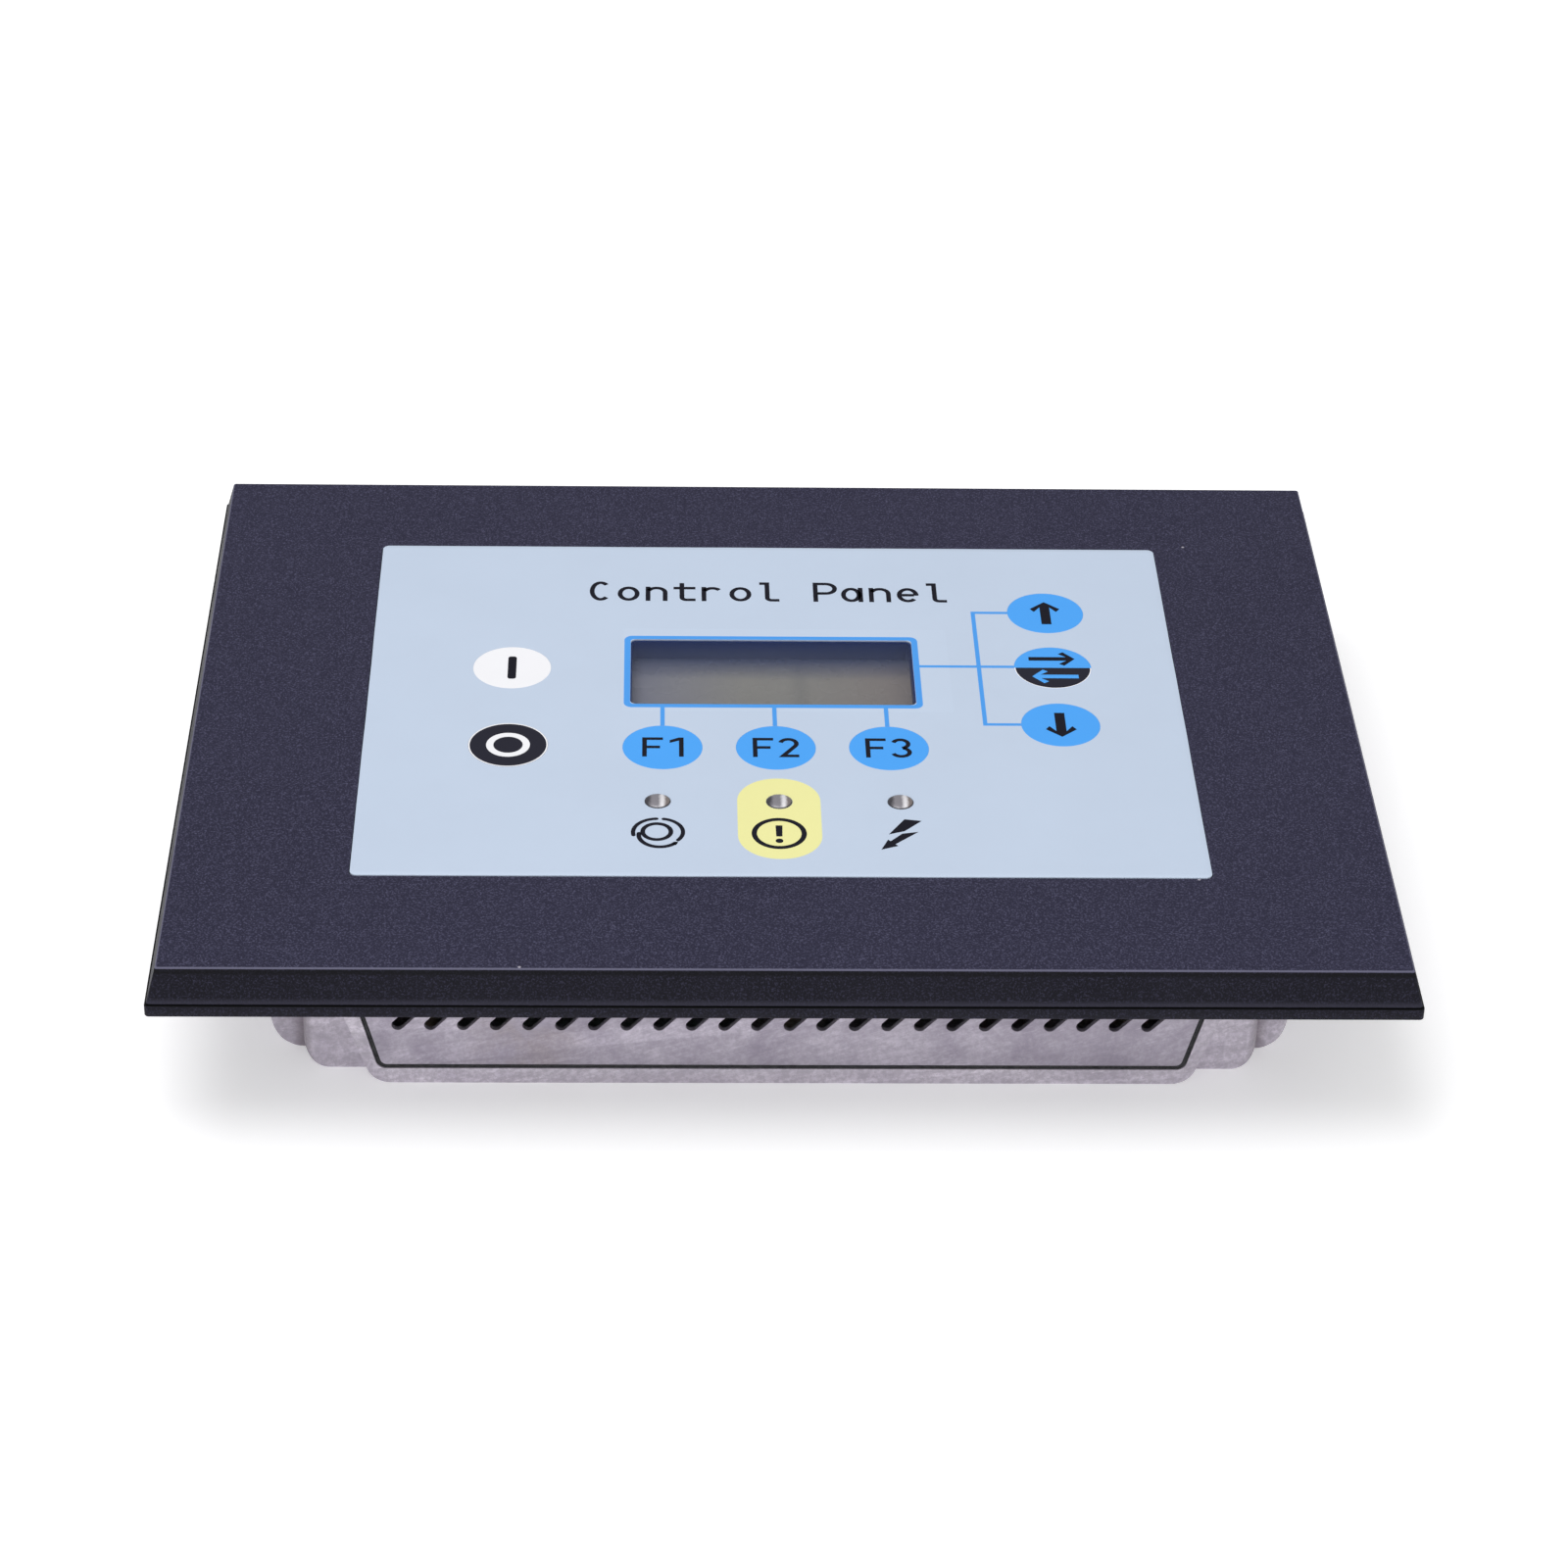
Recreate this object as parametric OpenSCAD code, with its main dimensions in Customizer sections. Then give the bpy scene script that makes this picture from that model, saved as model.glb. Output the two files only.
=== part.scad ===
// Panel-mount controller: a bezel with a membrane keypad and a display, on a die-cast housing.
// It rests on the housing's back. The origin is the centre of that back face, +Z points out of
// the front face and +Y towards the top of the label.

/* [Bezel] */
// Width of the bezel
bezel_w = 300; // [298:1:306]
// Depth of the bezel, from its bottom edge to its top edge
bezel_d = 235; // [234:1:242]
// Height of the front face above the housing's back
face_z = 47; // [46.5:0.5:50]
// Height of the bezel from its rim to its face
bezel_h = 11.6; // [11.4:0.2:13]
// How far the slopes along the front and back lean in
front_run = 3.8; // [2:0.2:5]
// How far the slopes along the left and right lean in
side_run = 2.7; // [2:0.1:4]
// Height of the upright edge below the slope
edge_h = 3.1; // [2:0.1:4]
// Radius of the bezel's upright corners
bezel_corner_r = 1; // [0.5:0.5:4]

/* [Label] */
// Width of the printed label
label_w = 208.2; // [204:0.2:212]
// Depth of the printed label
label_d = 156; // [152:0.5:160]
// Depth of the recess for label, spacer and circuit
recess_depth = 1.5; // [1.3:0.1:2]
// How far the label stands above the face
label_proud = 0.15; // [0:0.05:0.3]

/* [Keys and lamps] */
// Radius of a key
key_r = 10; // [9:0.5:10.5]
// Running clearance around a key
key_gap = 0.08; // [0.05:0.01:0.1]
// Radius of a snap dome
dome_r = 6; // [4:0.5:7]
// Radius of a lamp's lens
lamp_r = 3.2; // [2.5:0.1:3.3]
// Height of a lamp's lens above the face
lamp_proud = 0.8; // [0.6:0.1:1.2]

/* [Display] */
// Width of the display window
window_w = 73.2; // [70:0.2:74]
// Depth of the display window
window_d = 31.4; // [29:0.2:32]
// Width of the display module's board
lcd_board_w = 98; // [97:0.5:100]
// Depth of the display module's board
lcd_board_d = 60; // [58:0.5:62]

/* [Housing] */
// Half width, half depth and bottom fillet of the housing's wide middle block
wide_block = [124.8, 82, 10];
// Half width, half depth and bottom fillet of the next step
step_block = [116, 90.5, 8];
// Half depth of the two end walls
end_y = 96; // [95:0.5:96.5]
// Wall thickness of the housing
housing_wall = 3; // [2.5:0.1:3.2]
// Number of slots in each vent plate
slot_count = 24; // [12:1:24]
// Distance between vent slots
slot_pitch = 7.85; // [7:0.05:7.9]
// Width of a vent slot
slot_w = 3; // [2:0.1:3.4]
// Lean of the vent slots from the horizontal, degrees
slot_angle = 47; // [40:1:60]

/* [Door seat] */
// Distance between mounting studs across the width
stud_span_x = 277; // [276:1:278]
// Distance between mounting studs across the depth
stud_span_y = 180; // [160:2:190]
// Radius of a mounting stud
stud_r = 2.5; // [2:0.5:2.5]

/* [Hidden] */

$fn = 48;
cut = 1; // how far cutting bodies reach past a surface

// Levels along Z, from the face down
rim_z = face_z - bezel_h;
crease_z = rim_z + edge_h;
floor_z = face_z - recess_depth;
film_top = face_z + label_proud;
film_bottom = face_z - 0.25;
circuit_top = floor_z + 0.3;
bezel_under = face_z - 4;
flange_top = face_z - 6.7;
flange_t = 2;
frame_top = flange_top - flange_t;
frame_bottom = frame_top - 2;
gasket_bottom = rim_z - 0.4;

// Bezel
bezel_wall = 4.5;
label_pos = [-0.35, 2.15];
label_corner_r = 1.8;
label_gap = 0.15;

// Keys and lamps: places on the face
start_pos = [-68, 18.3];
stop_pos = [-68, -18.3];
soft_key_x = [-29.2, -0.7, 27.8];
soft_key_y = -19.1;
arrow_key_x = 72;
arrow_key_y = [46.8, 19.5, -7.8];
key_places = concat([start_pos, stop_pos], [for (x = soft_key_x) [x, soft_key_y]],
                    [for (y = arrow_key_y) [arrow_key_x, y]]);
lamp_x = [-30.4, -0.4, 29.6];
lamp_y = -43.5;
lamp_places = [for (x = lamp_x) [x, lamp_y]];
nub_r = 2;
nub_z = film_bottom - 0.1;
dome_top = nub_z - 0.1;
dome_t = 0.2;

// Display module, from the bezel's underside down
display_pos = [-0.85, 16.9];
window_corner_r = 1.6;
lcd_frame_w = 96.8;
lcd_frame_d = 39.3;
lcd_front = bezel_under - 0.8;
lcd_board_top = bezel_under - 7.6;
board_t = 1.6;
lcd_post_x = 46.5;
lcd_post_y = 27.5;
post_r = 3;
led_board_top = bezel_under - 4.4;
led_post_x = 41;

// Main board and what stands on it
main_pos = [0, 10];
main_w = 190;
main_d = 130;
main_bottom = 15;
main_top = main_bottom + board_t;
standoff_x = [-88, 0, 88];
standoff_y = [-58, 58];
tail_pos = [60, -45];
tail_w = 20;
display_ribbon_pos = [-20, -5];
led_ribbon_pos = [0, -40];
ribbon_w = 16;
strip_t = 0.3;
socket_h = 6;

// Connectors in the housing's back: centre, width and depth
input_pos = [-48, 52];
output_pos = [48, 52];
sensor_pos = [-48, -22];
comms_pos = [40, -22];
header_w = 63;
header_d = 12;
comms_w = 31;
comms_d = 12.6;
header_bottom = 1;
header_floor = 11;
header_wall = 1.2;
pin_pitch = 5.08;
connector_gap = 0.4;

// Housing: the end bay and its plate have sides that lean out to a knee and are upright above it
end_foot = 99;
end_lean = 18.3;
end_fillet = 6;
knee_z = 24;
end_inner_half_w = 97.5;
block_corner_r = 3.5;
block_front_r = 1;
plate_foot = 97.1;
plate_lean = 14.3;
plate_corner_r = 2;
plate_low_z = 4.9;
plate_top_z = 37;
plate_t = 1.5;
plate_inset = 0.4;
plate_seam = 0.6;
slot_low_z = 17;
slot_len = 13;
slot_first_x = -2.35 - (slot_count - 1) * slot_pitch / 2;
flange_w = 266;
flange_d = 208;
frame_cut_w = 250;
frame_cut_d = 194;
gasket_w = 286;
gasket_d = 221;
gasket_hole_w = 268;
gasket_hole_d = 210;
frame_screw_places = [for (x = [-129, 129], y = [-60, 60]) [x, y],
                      for (x = [-60, 60], y = [-100.5, 100.5]) [x, y]];
screw_r = 1.5;
screw_head_r = 2.75;
screw_head_h = 1.8;
stud_bottom = 17.5;
stud_collar_r = stud_r + 0.4;
stud_hole_r = stud_r + 1.25;
label_plate = [70, 30];
label_plate_pos = [0, -74];

// ---- shared shapes ----

// A flat rectangle with rounded corners
module rounded_rect(w, d, r) {
    square([w - 2 * r, d], center = true);
    square([w, d - 2 * r], center = true);
    for (x = [-1, 1], y = [-1, 1])
        translate([x * (w / 2 - r), y * (d / 2 - r)]) circle(r);
}

// A rounded plate between two levels
module slab(w, d, r, z0, z1) {
    translate([0, 0, z0]) linear_extrude(z1 - z0) rounded_rect(w, d, r);
}

// A plain box on a centre, between two levels
module block(w, d, z0, z1) {
    translate([-w / 2, -d / 2, z0]) cube([w, d, z1 - z0]);
}

// A round bar between two levels
module bar(r, z0, z1) {
    translate([0, 0, z0]) cylinder(h = z1 - z0, r = r);
}

// Repeats its children at each place
module at(places) {
    for (p = places) translate(p) children();
}

// A pan-head screw whose head stands on a level and whose shank runs up from it
module screw_up(head_top, shank_top, r) {
    bar(screw_head_r, head_top - screw_head_h, head_top);
    bar(r, head_top, shank_top);
}

// A flat flexible strip that hangs between two levels with one slack bend
module flex_strip(w, z_top, z_bottom, bend) {
    mid = (z_top + z_bottom) / 2;
    quarter = (z_top - z_bottom) / 4;
    path = [[0, z_bottom], [0, mid - quarter], [bend, mid], [0, mid + quarter], [0, z_top]];
    far_side = [for (i = [4:-1:0]) path[i] + [strip_t, 0]];
    rotate([90, 0, 90]) linear_extrude(w, center = true) polygon(concat(path, far_side));
}

// ---- bezel and keypad ----

// The bezel's section across one direction, drawn out along the other
module sloped_bar(span, length, run) {
    rotate([90, 0, 90]) linear_extrude(length, center = true)
        polygon([[-span / 2, rim_z], [-span / 2, crease_z], [-span / 2 + run, face_z],
                 [span / 2 - run, face_z], [span / 2, crease_z], [span / 2, rim_z]]);
}

module bezel_outer() {
    intersection() {
        sloped_bar(bezel_d, bezel_w, front_run);
        rotate([0, 0, 90]) sloped_bar(bezel_w, bezel_d, side_run);
        slab(bezel_w, bezel_d, bezel_corner_r, rim_z, face_z);
    }
}

lcd_posts = [for (x = [-1, 1], y = [-1, 1]) display_pos + [x * lcd_post_x, y * lcd_post_y]];
led_posts = [for (x = [-1, 1]) [lamp_x[1] + x * led_post_x, lamp_y]];

module bezel_posts() {
    at(lcd_posts) bar(post_r, lcd_board_top, bezel_under + cut);
    at(led_posts) bar(post_r, led_board_top, bezel_under + cut);
    at(frame_screw_places) bar(4, flange_top, bezel_under + cut);
}

module bezel_pilots() {
    at(lcd_posts) bar(screw_r - 0.2, lcd_board_top - cut, bezel_under);
    at(led_posts) bar(screw_r - 0.2, led_board_top - cut, bezel_under);
    at(frame_screw_places) bar(screw_r + 0.05, flange_top - cut, bezel_under);
}

module front_bezel() {
    color("#3b3b4e") difference() {
        union() {
            difference() {
                bezel_outer();
                slab(bezel_w - 2 * bezel_wall, bezel_d - 2 * bezel_wall, 2,
                     rim_z - cut, bezel_under);
            }
            bezel_posts();
        }
        bezel_pilots();
        translate(label_pos)
            slab(label_w + 2 * label_gap, label_d + 2 * label_gap, label_corner_r + label_gap,
                 floor_z, face_z + cut);
        translate(display_pos)
            slab(window_w + 1.6, window_d + 1.6, window_corner_r, bezel_under - cut, face_z);
        at(lamp_places) bar(lamp_r + 0.3, bezel_under - cut, face_z);
        translate(tail_pos) block(tail_w + 2, 2.4, bezel_under - cut, face_z);
    }
}

// A layer of the keypad: the label's outline with openings for keys, lamps and window
module keypad_layer(z0, z1, key_hole_r, lamp_hole_r, shrink) {
    difference() {
        translate(label_pos)
            slab(label_w - 2 * shrink, label_d - 2 * shrink, label_corner_r, z0, z1);
        at(key_places) bar(key_hole_r, z0 - cut, z1 + cut);
        at(lamp_places) bar(lamp_hole_r, z0 - cut, z1 + cut);
        translate(display_pos)
            slab(window_w, window_d, window_corner_r, z0 - cut, z1 + cut);
    }
}

module keypad_overlay() {
    color("#c9d6e9") keypad_layer(film_bottom, film_top, key_r + key_gap, lamp_r + 0.05, 0);
}

module keypad_spacer() {
    color("#e4e4dc") keypad_layer(circuit_top, film_bottom, key_r + 0.4, lamp_r + 0.3, 0.2);
}

// The switch circuit has no key openings: the domes stand on it
module keypad_circuit() {
    color("#b8863c") difference() {
        translate(label_pos)
            slab(label_w - 0.4, label_d - 0.4, label_corner_r, floor_z, circuit_top);
        at(lamp_places) bar(lamp_r + 0.3, floor_z - cut, circuit_top + cut);
        translate(display_pos)
            slab(window_w, window_d, window_corner_r, floor_z - cut, circuit_top + cut);
    }
}

module display_window() {
    color("#9aa2a8", 0.4) translate(display_pos)
        slab(window_w - 0.1, window_d - 0.1, window_corner_r, film_bottom, film_top - 0.1);
}

module key_at(place, tint) {
    color(tint) translate(place) {
        bar(key_r, film_bottom, film_top);
        bar(nub_r, nub_z, film_bottom);
    }
}

module key_start() { key_at(start_pos, "#f5f5fa"); }
module key_stop() { key_at(stop_pos, "#3c3a4b"); }
module key_f1() { key_at([soft_key_x[0], soft_key_y], "#52a2ef"); }
module key_f2() { key_at([soft_key_x[1], soft_key_y], "#52a2ef"); }
module key_f3() { key_at([soft_key_x[2], soft_key_y], "#52a2ef"); }
module key_up() { key_at([arrow_key_x, arrow_key_y[0]], "#52a2ef"); }
module key_tab() { key_at([arrow_key_x, arrow_key_y[1]], "#52a2ef"); }
module key_down() { key_at([arrow_key_x, arrow_key_y[2]], "#52a2ef"); }

// A thin snap dome: a shallow crown whose rim stands on the circuit
module dome_at(place) {
    steps = 6;
    rise = dome_top - circuit_top;
    upper = [for (i = [0:steps]) [dome_r * i / steps, circuit_top + rise * (1 - pow(i / steps, 2))]];
    lower = [for (i = [steps - 1:-1:0])
             [dome_r * i / steps,
              circuit_top + (rise - dome_t) * (1 - pow(i / (steps - 0.5), 2))]];
    inner = [for (p = lower) [p[0], max(p[1], circuit_top)]];
    color("#c8c8c8") translate(place) rotate_extrude()
        polygon(concat(upper, inner));
}

module dome_start() { dome_at(start_pos); }
module dome_stop() { dome_at(stop_pos); }
module dome_f1() { dome_at([soft_key_x[0], soft_key_y]); }
module dome_f2() { dome_at([soft_key_x[1], soft_key_y]); }
module dome_f3() { dome_at([soft_key_x[2], soft_key_y]); }
module dome_up() { dome_at([arrow_key_x, arrow_key_y[0]]); }
module dome_tab() { dome_at([arrow_key_x, arrow_key_y[1]]); }
module dome_down() { dome_at([arrow_key_x, arrow_key_y[2]]); }

module keypad_tail() {
    color("#b8863c") translate(tail_pos)
        flex_strip(tail_w, floor_z, main_top + socket_h, 4);
}

module keypad_socket() {
    color("#e8e2cf") translate(tail_pos + [0, strip_t / 2])
        block(tail_w + 4, 5, main_top, main_top + socket_h);
}

// ---- lamps ----

// A lamp: flange on the board, stem through the bezel, domed lens above the label
module lamp_at(i) {
    stem_top = film_top - 0.1;
    crown = face_z + lamp_proud - stem_top;
    steps = 8;
    color("#c4c4cc") translate(lamp_places[i]) rotate_extrude()
        polygon(concat([[0, led_board_top], [lamp_r + 0.2, led_board_top],
                        [lamp_r + 0.2, led_board_top + 1], [lamp_r, led_board_top + 1]],
                       [for (k = [0:steps])
                        [lamp_r * cos(90 * k / steps), stem_top + crown * sin(90 * k / steps)]]));
}

module led_auto() { lamp_at(0); }
module led_alarm() { lamp_at(1); }
module led_power() { lamp_at(2); }

module led_board() {
    color("#2f6b3c") difference() {
        translate([lamp_x[1], lamp_y])
            slab(2 * led_post_x + 9, 18, 1, led_board_top - board_t, led_board_top);
        at(led_posts) bar(screw_r + 0.1, led_board_top - board_t - cut, led_board_top + cut);
    }
}

module led_ribbon() {
    color("#8f8f96") translate(led_ribbon_pos)
        flex_strip(ribbon_w, led_board_top - board_t, main_top + socket_h, 4);
}

// ---- display ----

module display_gasket() {
    color("#222226") translate(display_pos) difference() {
        slab(92, 37, 1, lcd_front, bezel_under);
        slab(window_w + 4, window_d + 3, 1, lcd_front - cut, bezel_under + cut);
    }
}

module lcd_frame() {
    skin = 0.8;
    color("#3a3c40") translate(display_pos) difference() {
        slab(lcd_frame_w, lcd_frame_d, 1, lcd_board_top, lcd_front);
        block(lcd_frame_w - 2 * skin, lcd_frame_d - 2 * skin, lcd_board_top - cut,
              lcd_front - skin);
        block(window_w + 3, window_d + 2, lcd_board_top - cut, lcd_front + cut);
    }
}

module lcd_glass() {
    color("#777770") translate(display_pos)
        block(94, 36, lcd_front - 3.2, lcd_front - 0.8);
}

module lcd_backlight() {
    color("#f0f0e8") translate(display_pos)
        block(93, 35, lcd_board_top, lcd_front - 3.2);
}

module lcd_board() {
    color("#2f6b3c") difference() {
        translate(display_pos)
            slab(lcd_board_w, lcd_board_d, 1, lcd_board_top - board_t, lcd_board_top);
        at(lcd_posts) bar(screw_r + 0.2, lcd_board_top - board_t - cut, lcd_board_top + cut);
    }
}

module display_ribbon() {
    color("#8f8f96") translate(display_ribbon_pos)
        flex_strip(ribbon_w, lcd_board_top - board_t, main_top + socket_h, 3);
}

module ribbon_sockets() {
    color("#26262a") at([display_ribbon_pos, led_ribbon_pos])
        translate([0, strip_t / 2]) block(ribbon_w + 4, 6, main_top, main_top + socket_h);
}

module display_screws() {
    color("#c8c8cc") {
        at(lcd_posts) screw_up(lcd_board_top - board_t, lcd_board_top + 4, screw_r - 0.3);
        at(led_posts) screw_up(led_board_top - board_t, led_board_top + 3, screw_r - 0.3);
    }
}

// ---- main board ----

standoff_places = [for (x = standoff_x, y = standoff_y) main_pos + [x, y]];

module main_board() {
    color("#2f6b3c") difference() {
        translate(main_pos) slab(main_w, main_d, 2, main_bottom, main_top);
        at(standoff_places) bar(screw_r + 0.2, main_bottom - cut, main_top + cut);
    }
}

module processor_chips() {
    color("#26262a") {
        translate([20, 15]) block(28, 28, main_top, main_top + 3.2);
        translate([52, 22]) block(20, 14, main_top, main_top + 2.4);
        translate([52, 4]) block(20, 14, main_top, main_top + 2.4);
        translate([20, -14]) block(14, 10, main_top, main_top + 2);
    }
}

module relays() {
    color("#e8e6dc") for (i = [0:4])
        translate([-78 + 16 * i, 61.5]) block(12.8, 24, main_top, main_top + 15.6);
}

module capacitors() {
    color("#30343c") {
        for (i = [0:2]) translate([-80, 26 - 20 * i]) bar(8, main_top, main_top + 15);
        for (i = [0:2]) translate([84, 40 - 12 * i]) bar(4, main_top, main_top + 11);
    }
}

module buffer_battery() {
    color("#c8c8cc") translate([80, -15]) bar(10, main_top, main_top + 5);
}

module board_standoffs() {
    color("#c9b37a") at(standoff_places) difference() {
        translate([0, 0, housing_wall])
            cylinder(h = main_bottom - housing_wall, r = 3.5, $fn = 6);
        bar(screw_r + 0.1, housing_wall - cut, main_bottom + cut);
    }
}

module board_screws() {
    color("#c8c8cc") at(standoff_places) {
        bar(screw_head_r, main_top, main_top + screw_head_h);
        bar(screw_r, main_top - 6, main_top);
    }
}

// ---- housing ----

// A section with rounded bottom corners
module rounded_bottom(half, r, top) {
    translate([-half, r]) square([2 * half, top - r]);
    translate([-(half - r), 0]) square([2 * (half - r), top]);
    for (s = [-1, 1]) translate([s * (half - r), r]) circle(r);
}

// A block with wide fillets along its sides' feet, narrow ones along its ends' and rounded corners
module pan_block(size, top) {
    intersection() {
        rotate([90, 0, 0]) linear_extrude(2 * size[1], center = true)
            rounded_bottom(size[0], size[2], top);
        rotate([90, 0, 90]) linear_extrude(2 * size[0], center = true)
            rounded_bottom(size[1], block_front_r, top);
        slab(2 * size[0], 2 * size[1], block_corner_r, 0, top);
    }
}

// A section whose sides lean out from its foot to the knee, with rounded foot corners
module leaning_section(foot, z0, lean, r, top) {
    tangent = r / tan((90 + lean) / 2);
    knee = foot + (knee_z - z0) * tan(lean);
    side = [foot + tangent * sin(lean), z0 + tangent * cos(lean)];
    half = [[foot - tangent, z0], side, [knee, knee_z], [knee, top]];
    polygon(concat(half, [for (i = [3:-1:0]) [-half[i][0], half[i][1]]]));
    for (s = [-1, 1]) translate([s * (foot - tangent), z0 + r]) circle(r);
}

module housing_outer(top) {
    pan_block(wide_block, top);
    pan_block(step_block, top);
    rotate([90, 0, 0]) linear_extrude(2 * end_y, center = true)
        leaning_section(end_foot, 0, end_lean, end_fillet, top);
}

module housing_inner() {
    w = housing_wall;
    top = flange_top + cut;
    block(2 * (wide_block[0] - w), 2 * (wide_block[1] - w), w, top);
    block(2 * (step_block[0] - w), 2 * (step_block[1] - w), w, top);
    block(2 * end_inner_half_w, 2 * (end_y - w), w, top);
}

// The vent plate's outline, grown or shrunk all round
module plate_outline(grow) {
    leaning_section(plate_foot + grow, plate_low_z - grow, plate_lean,
                    max(plate_corner_r + grow, 1), plate_top_z + grow);
}

// A body with that outline that runs back from an end wall's face
module plate_body(grow, start, depth) {
    translate([0, -end_y + start + depth, 0]) rotate([90, 0, 0])
        linear_extrude(depth) plate_outline(grow);
}

// One slanted slot with round ends, cut through the plate
module vent_slot() {
    rotate([90, 0, 0]) linear_extrude(2 * plate_t + 2, center = true) {
        circle(slot_w / 2);
        rotate(slot_angle) translate([0, -slot_w / 2]) square([slot_len, slot_w]);
        rotate(slot_angle) translate([slot_len, 0]) circle(slot_w / 2);
    }
}

module vent_plate() {
    color("#8e8897") difference() {
        plate_body(0, plate_inset, plate_t);
        for (i = [0:slot_count - 1])
            translate([slot_first_x + i * slot_pitch, -end_y + plate_inset + plate_t / 2,
                       slot_low_z])
                vent_slot();
    }
}

module vent_plate_front() { vent_plate(); }
module vent_plate_back() { rotate([0, 0, 180]) vent_plate(); }

module connector_cutouts() {
    for (p = [input_pos, output_pos, sensor_pos]) translate(p)
        block(header_w + 2 * connector_gap, header_d + 2 * connector_gap, -cut,
              housing_wall + cut);
    translate(comms_pos)
        block(comms_w + 2 * connector_gap, comms_d + 2 * connector_gap, -cut,
              housing_wall + cut);
}

module rear_housing() {
    pocket = plate_inset + plate_t;
    color("#b0abb7") difference() {
        union() {
            housing_outer(flange_top);
            slab(flange_w, flange_d, 4, frame_top, flange_top);
        }
        housing_inner();
        for (turn = [0, 180]) rotate([0, 0, turn]) {
            plate_body(plate_seam, -cut, pocket + cut);
            plate_body(-4, -cut, housing_wall + 2 * cut);
        }
        connector_cutouts();
        at(frame_screw_places) bar(screw_r + 0.3, frame_top - cut, flange_top + cut);
        at(standoff_places) {
            bar(screw_r + 0.1, -cut, housing_wall + cut);
            translate([0, 0, -0.01])
                cylinder(h = 1.8, r1 = screw_head_r + 0.35, r2 = screw_r + 0.1);
        }
        translate(label_plate_pos)
            slab(label_plate[0] + 1, label_plate[1] + 1, 1.5, -cut, 0.3);
    }
}

module rear_screws() {
    color("#c8c8cc") at(standoff_places) {
        translate([0, 0, 0.1]) cylinder(h = 1.6, r1 = screw_head_r + 0.1, r2 = screw_r);
        bar(screw_r, 1.6, 8);
    }
}

module rating_label() {
    color("#e6e6ea") translate(label_plate_pos)
        slab(label_plate[0], label_plate[1], 1.5, 0.1, 0.3);
}

// ---- connectors ----

// An open-mouthed connector body that faces backward
module connector_shell(w, d) {
    difference() {
        block(w, d, header_bottom, main_bottom);
        block(w - 2 * header_wall, d - 2 * header_wall, header_bottom - cut, header_floor);
    }
}

module input_header() { color("#3f9a4f") translate(input_pos) connector_shell(header_w, header_d); }
module output_header() {
    color("#3f9a4f") translate(output_pos) connector_shell(header_w, header_d);
}
module sensor_header() {
    color("#3f9a4f") translate(sensor_pos) connector_shell(header_w, header_d);
}
module comms_socket() { color("#a8a8ae") translate(comms_pos) connector_shell(comms_w, comms_d); }

module header_pins() {
    pin = 1;
    pin_bottom = 6;
    color("#cdb46a") {
        for (p = [input_pos, output_pos, sensor_pos], i = [0:11])
            translate(p + [(i - 5.5) * pin_pitch, 0]) block(pin, pin, pin_bottom, header_floor);
        for (row = [-1, 1], i = [0:4])
            translate(comms_pos + [(i - 2) * 4.6, row * 1.6])
                block(pin, pin, pin_bottom, header_floor);
    }
}

// ---- door seat ----

stud_places = [for (x = [-1, 1], y = [-1, 1]) [x * stud_span_x / 2, y * stud_span_y / 2]];

module mounting_frame() {
    color("#9a9aa2") difference() {
        slab(bezel_w - 2 * bezel_wall - 0.6, bezel_d - 2 * bezel_wall - 0.6, 2,
             frame_bottom, frame_top);
        slab(frame_cut_w, frame_cut_d, 3, frame_bottom - cut, frame_top + cut);
        at(frame_screw_places) bar(screw_r + 0.2, frame_bottom - cut, frame_top + cut);
        at(stud_places) bar(stud_collar_r, frame_bottom - cut, frame_top + cut);
    }
}

module frame_screws() {
    color("#c8c8cc") at(frame_screw_places)
        screw_up(frame_bottom, bezel_under - 0.7, screw_r);
}

// Press-in studs: head on the frame, collar pressed through it, shank below it
module mounting_studs() {
    tip = 0.6;
    color("#c8c8cc") at(stud_places) {
        bar(4, frame_top, frame_top + 1);
        bar(stud_collar_r, frame_bottom, frame_top);
        bar(stud_r, stud_bottom + tip, frame_bottom);
        translate([0, 0, stud_bottom]) cylinder(h = tip, r1 = stud_r - tip, r2 = stud_r);
    }
}

module panel_gasket() {
    color("#222226") difference() {
        slab(gasket_w, gasket_d, 3, gasket_bottom, frame_bottom);
        slab(gasket_hole_w, gasket_hole_d, 3, gasket_bottom - cut, frame_bottom + cut);
        at(stud_places) bar(stud_hole_r, gasket_bottom - cut, frame_bottom + cut);
    }
}

front_bezel();
keypad_overlay();
display_window();
key_start();
key_stop();
key_f1();
key_f2();
key_f3();
key_up();
key_tab();
key_down();
dome_start();
dome_stop();
dome_f1();
dome_f2();
dome_f3();
dome_up();
dome_tab();
dome_down();
keypad_spacer();
keypad_circuit();
keypad_tail();
keypad_socket();
led_auto();
led_alarm();
led_power();
led_board();
led_ribbon();
display_gasket();
lcd_frame();
lcd_glass();
lcd_backlight();
lcd_board();
display_ribbon();
ribbon_sockets();
display_screws();
main_board();
processor_chips();
relays();
capacitors();
buffer_battery();
board_standoffs();
board_screws();
rear_screws();
rear_housing();
vent_plate_front();
vent_plate_back();
input_header();
output_header();
sensor_header();
comms_socket();
header_pins();
mounting_frame();
frame_screws();
mounting_studs();
panel_gasket();
rating_label();
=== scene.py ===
"""Looks of the panel controller: materials, printed graphics and fine detail around the CAD frame."""
import math

import bmesh
import bpy
from mathutils import Matrix, Vector
from mathutils.geometry import tessellate_polygon


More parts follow.
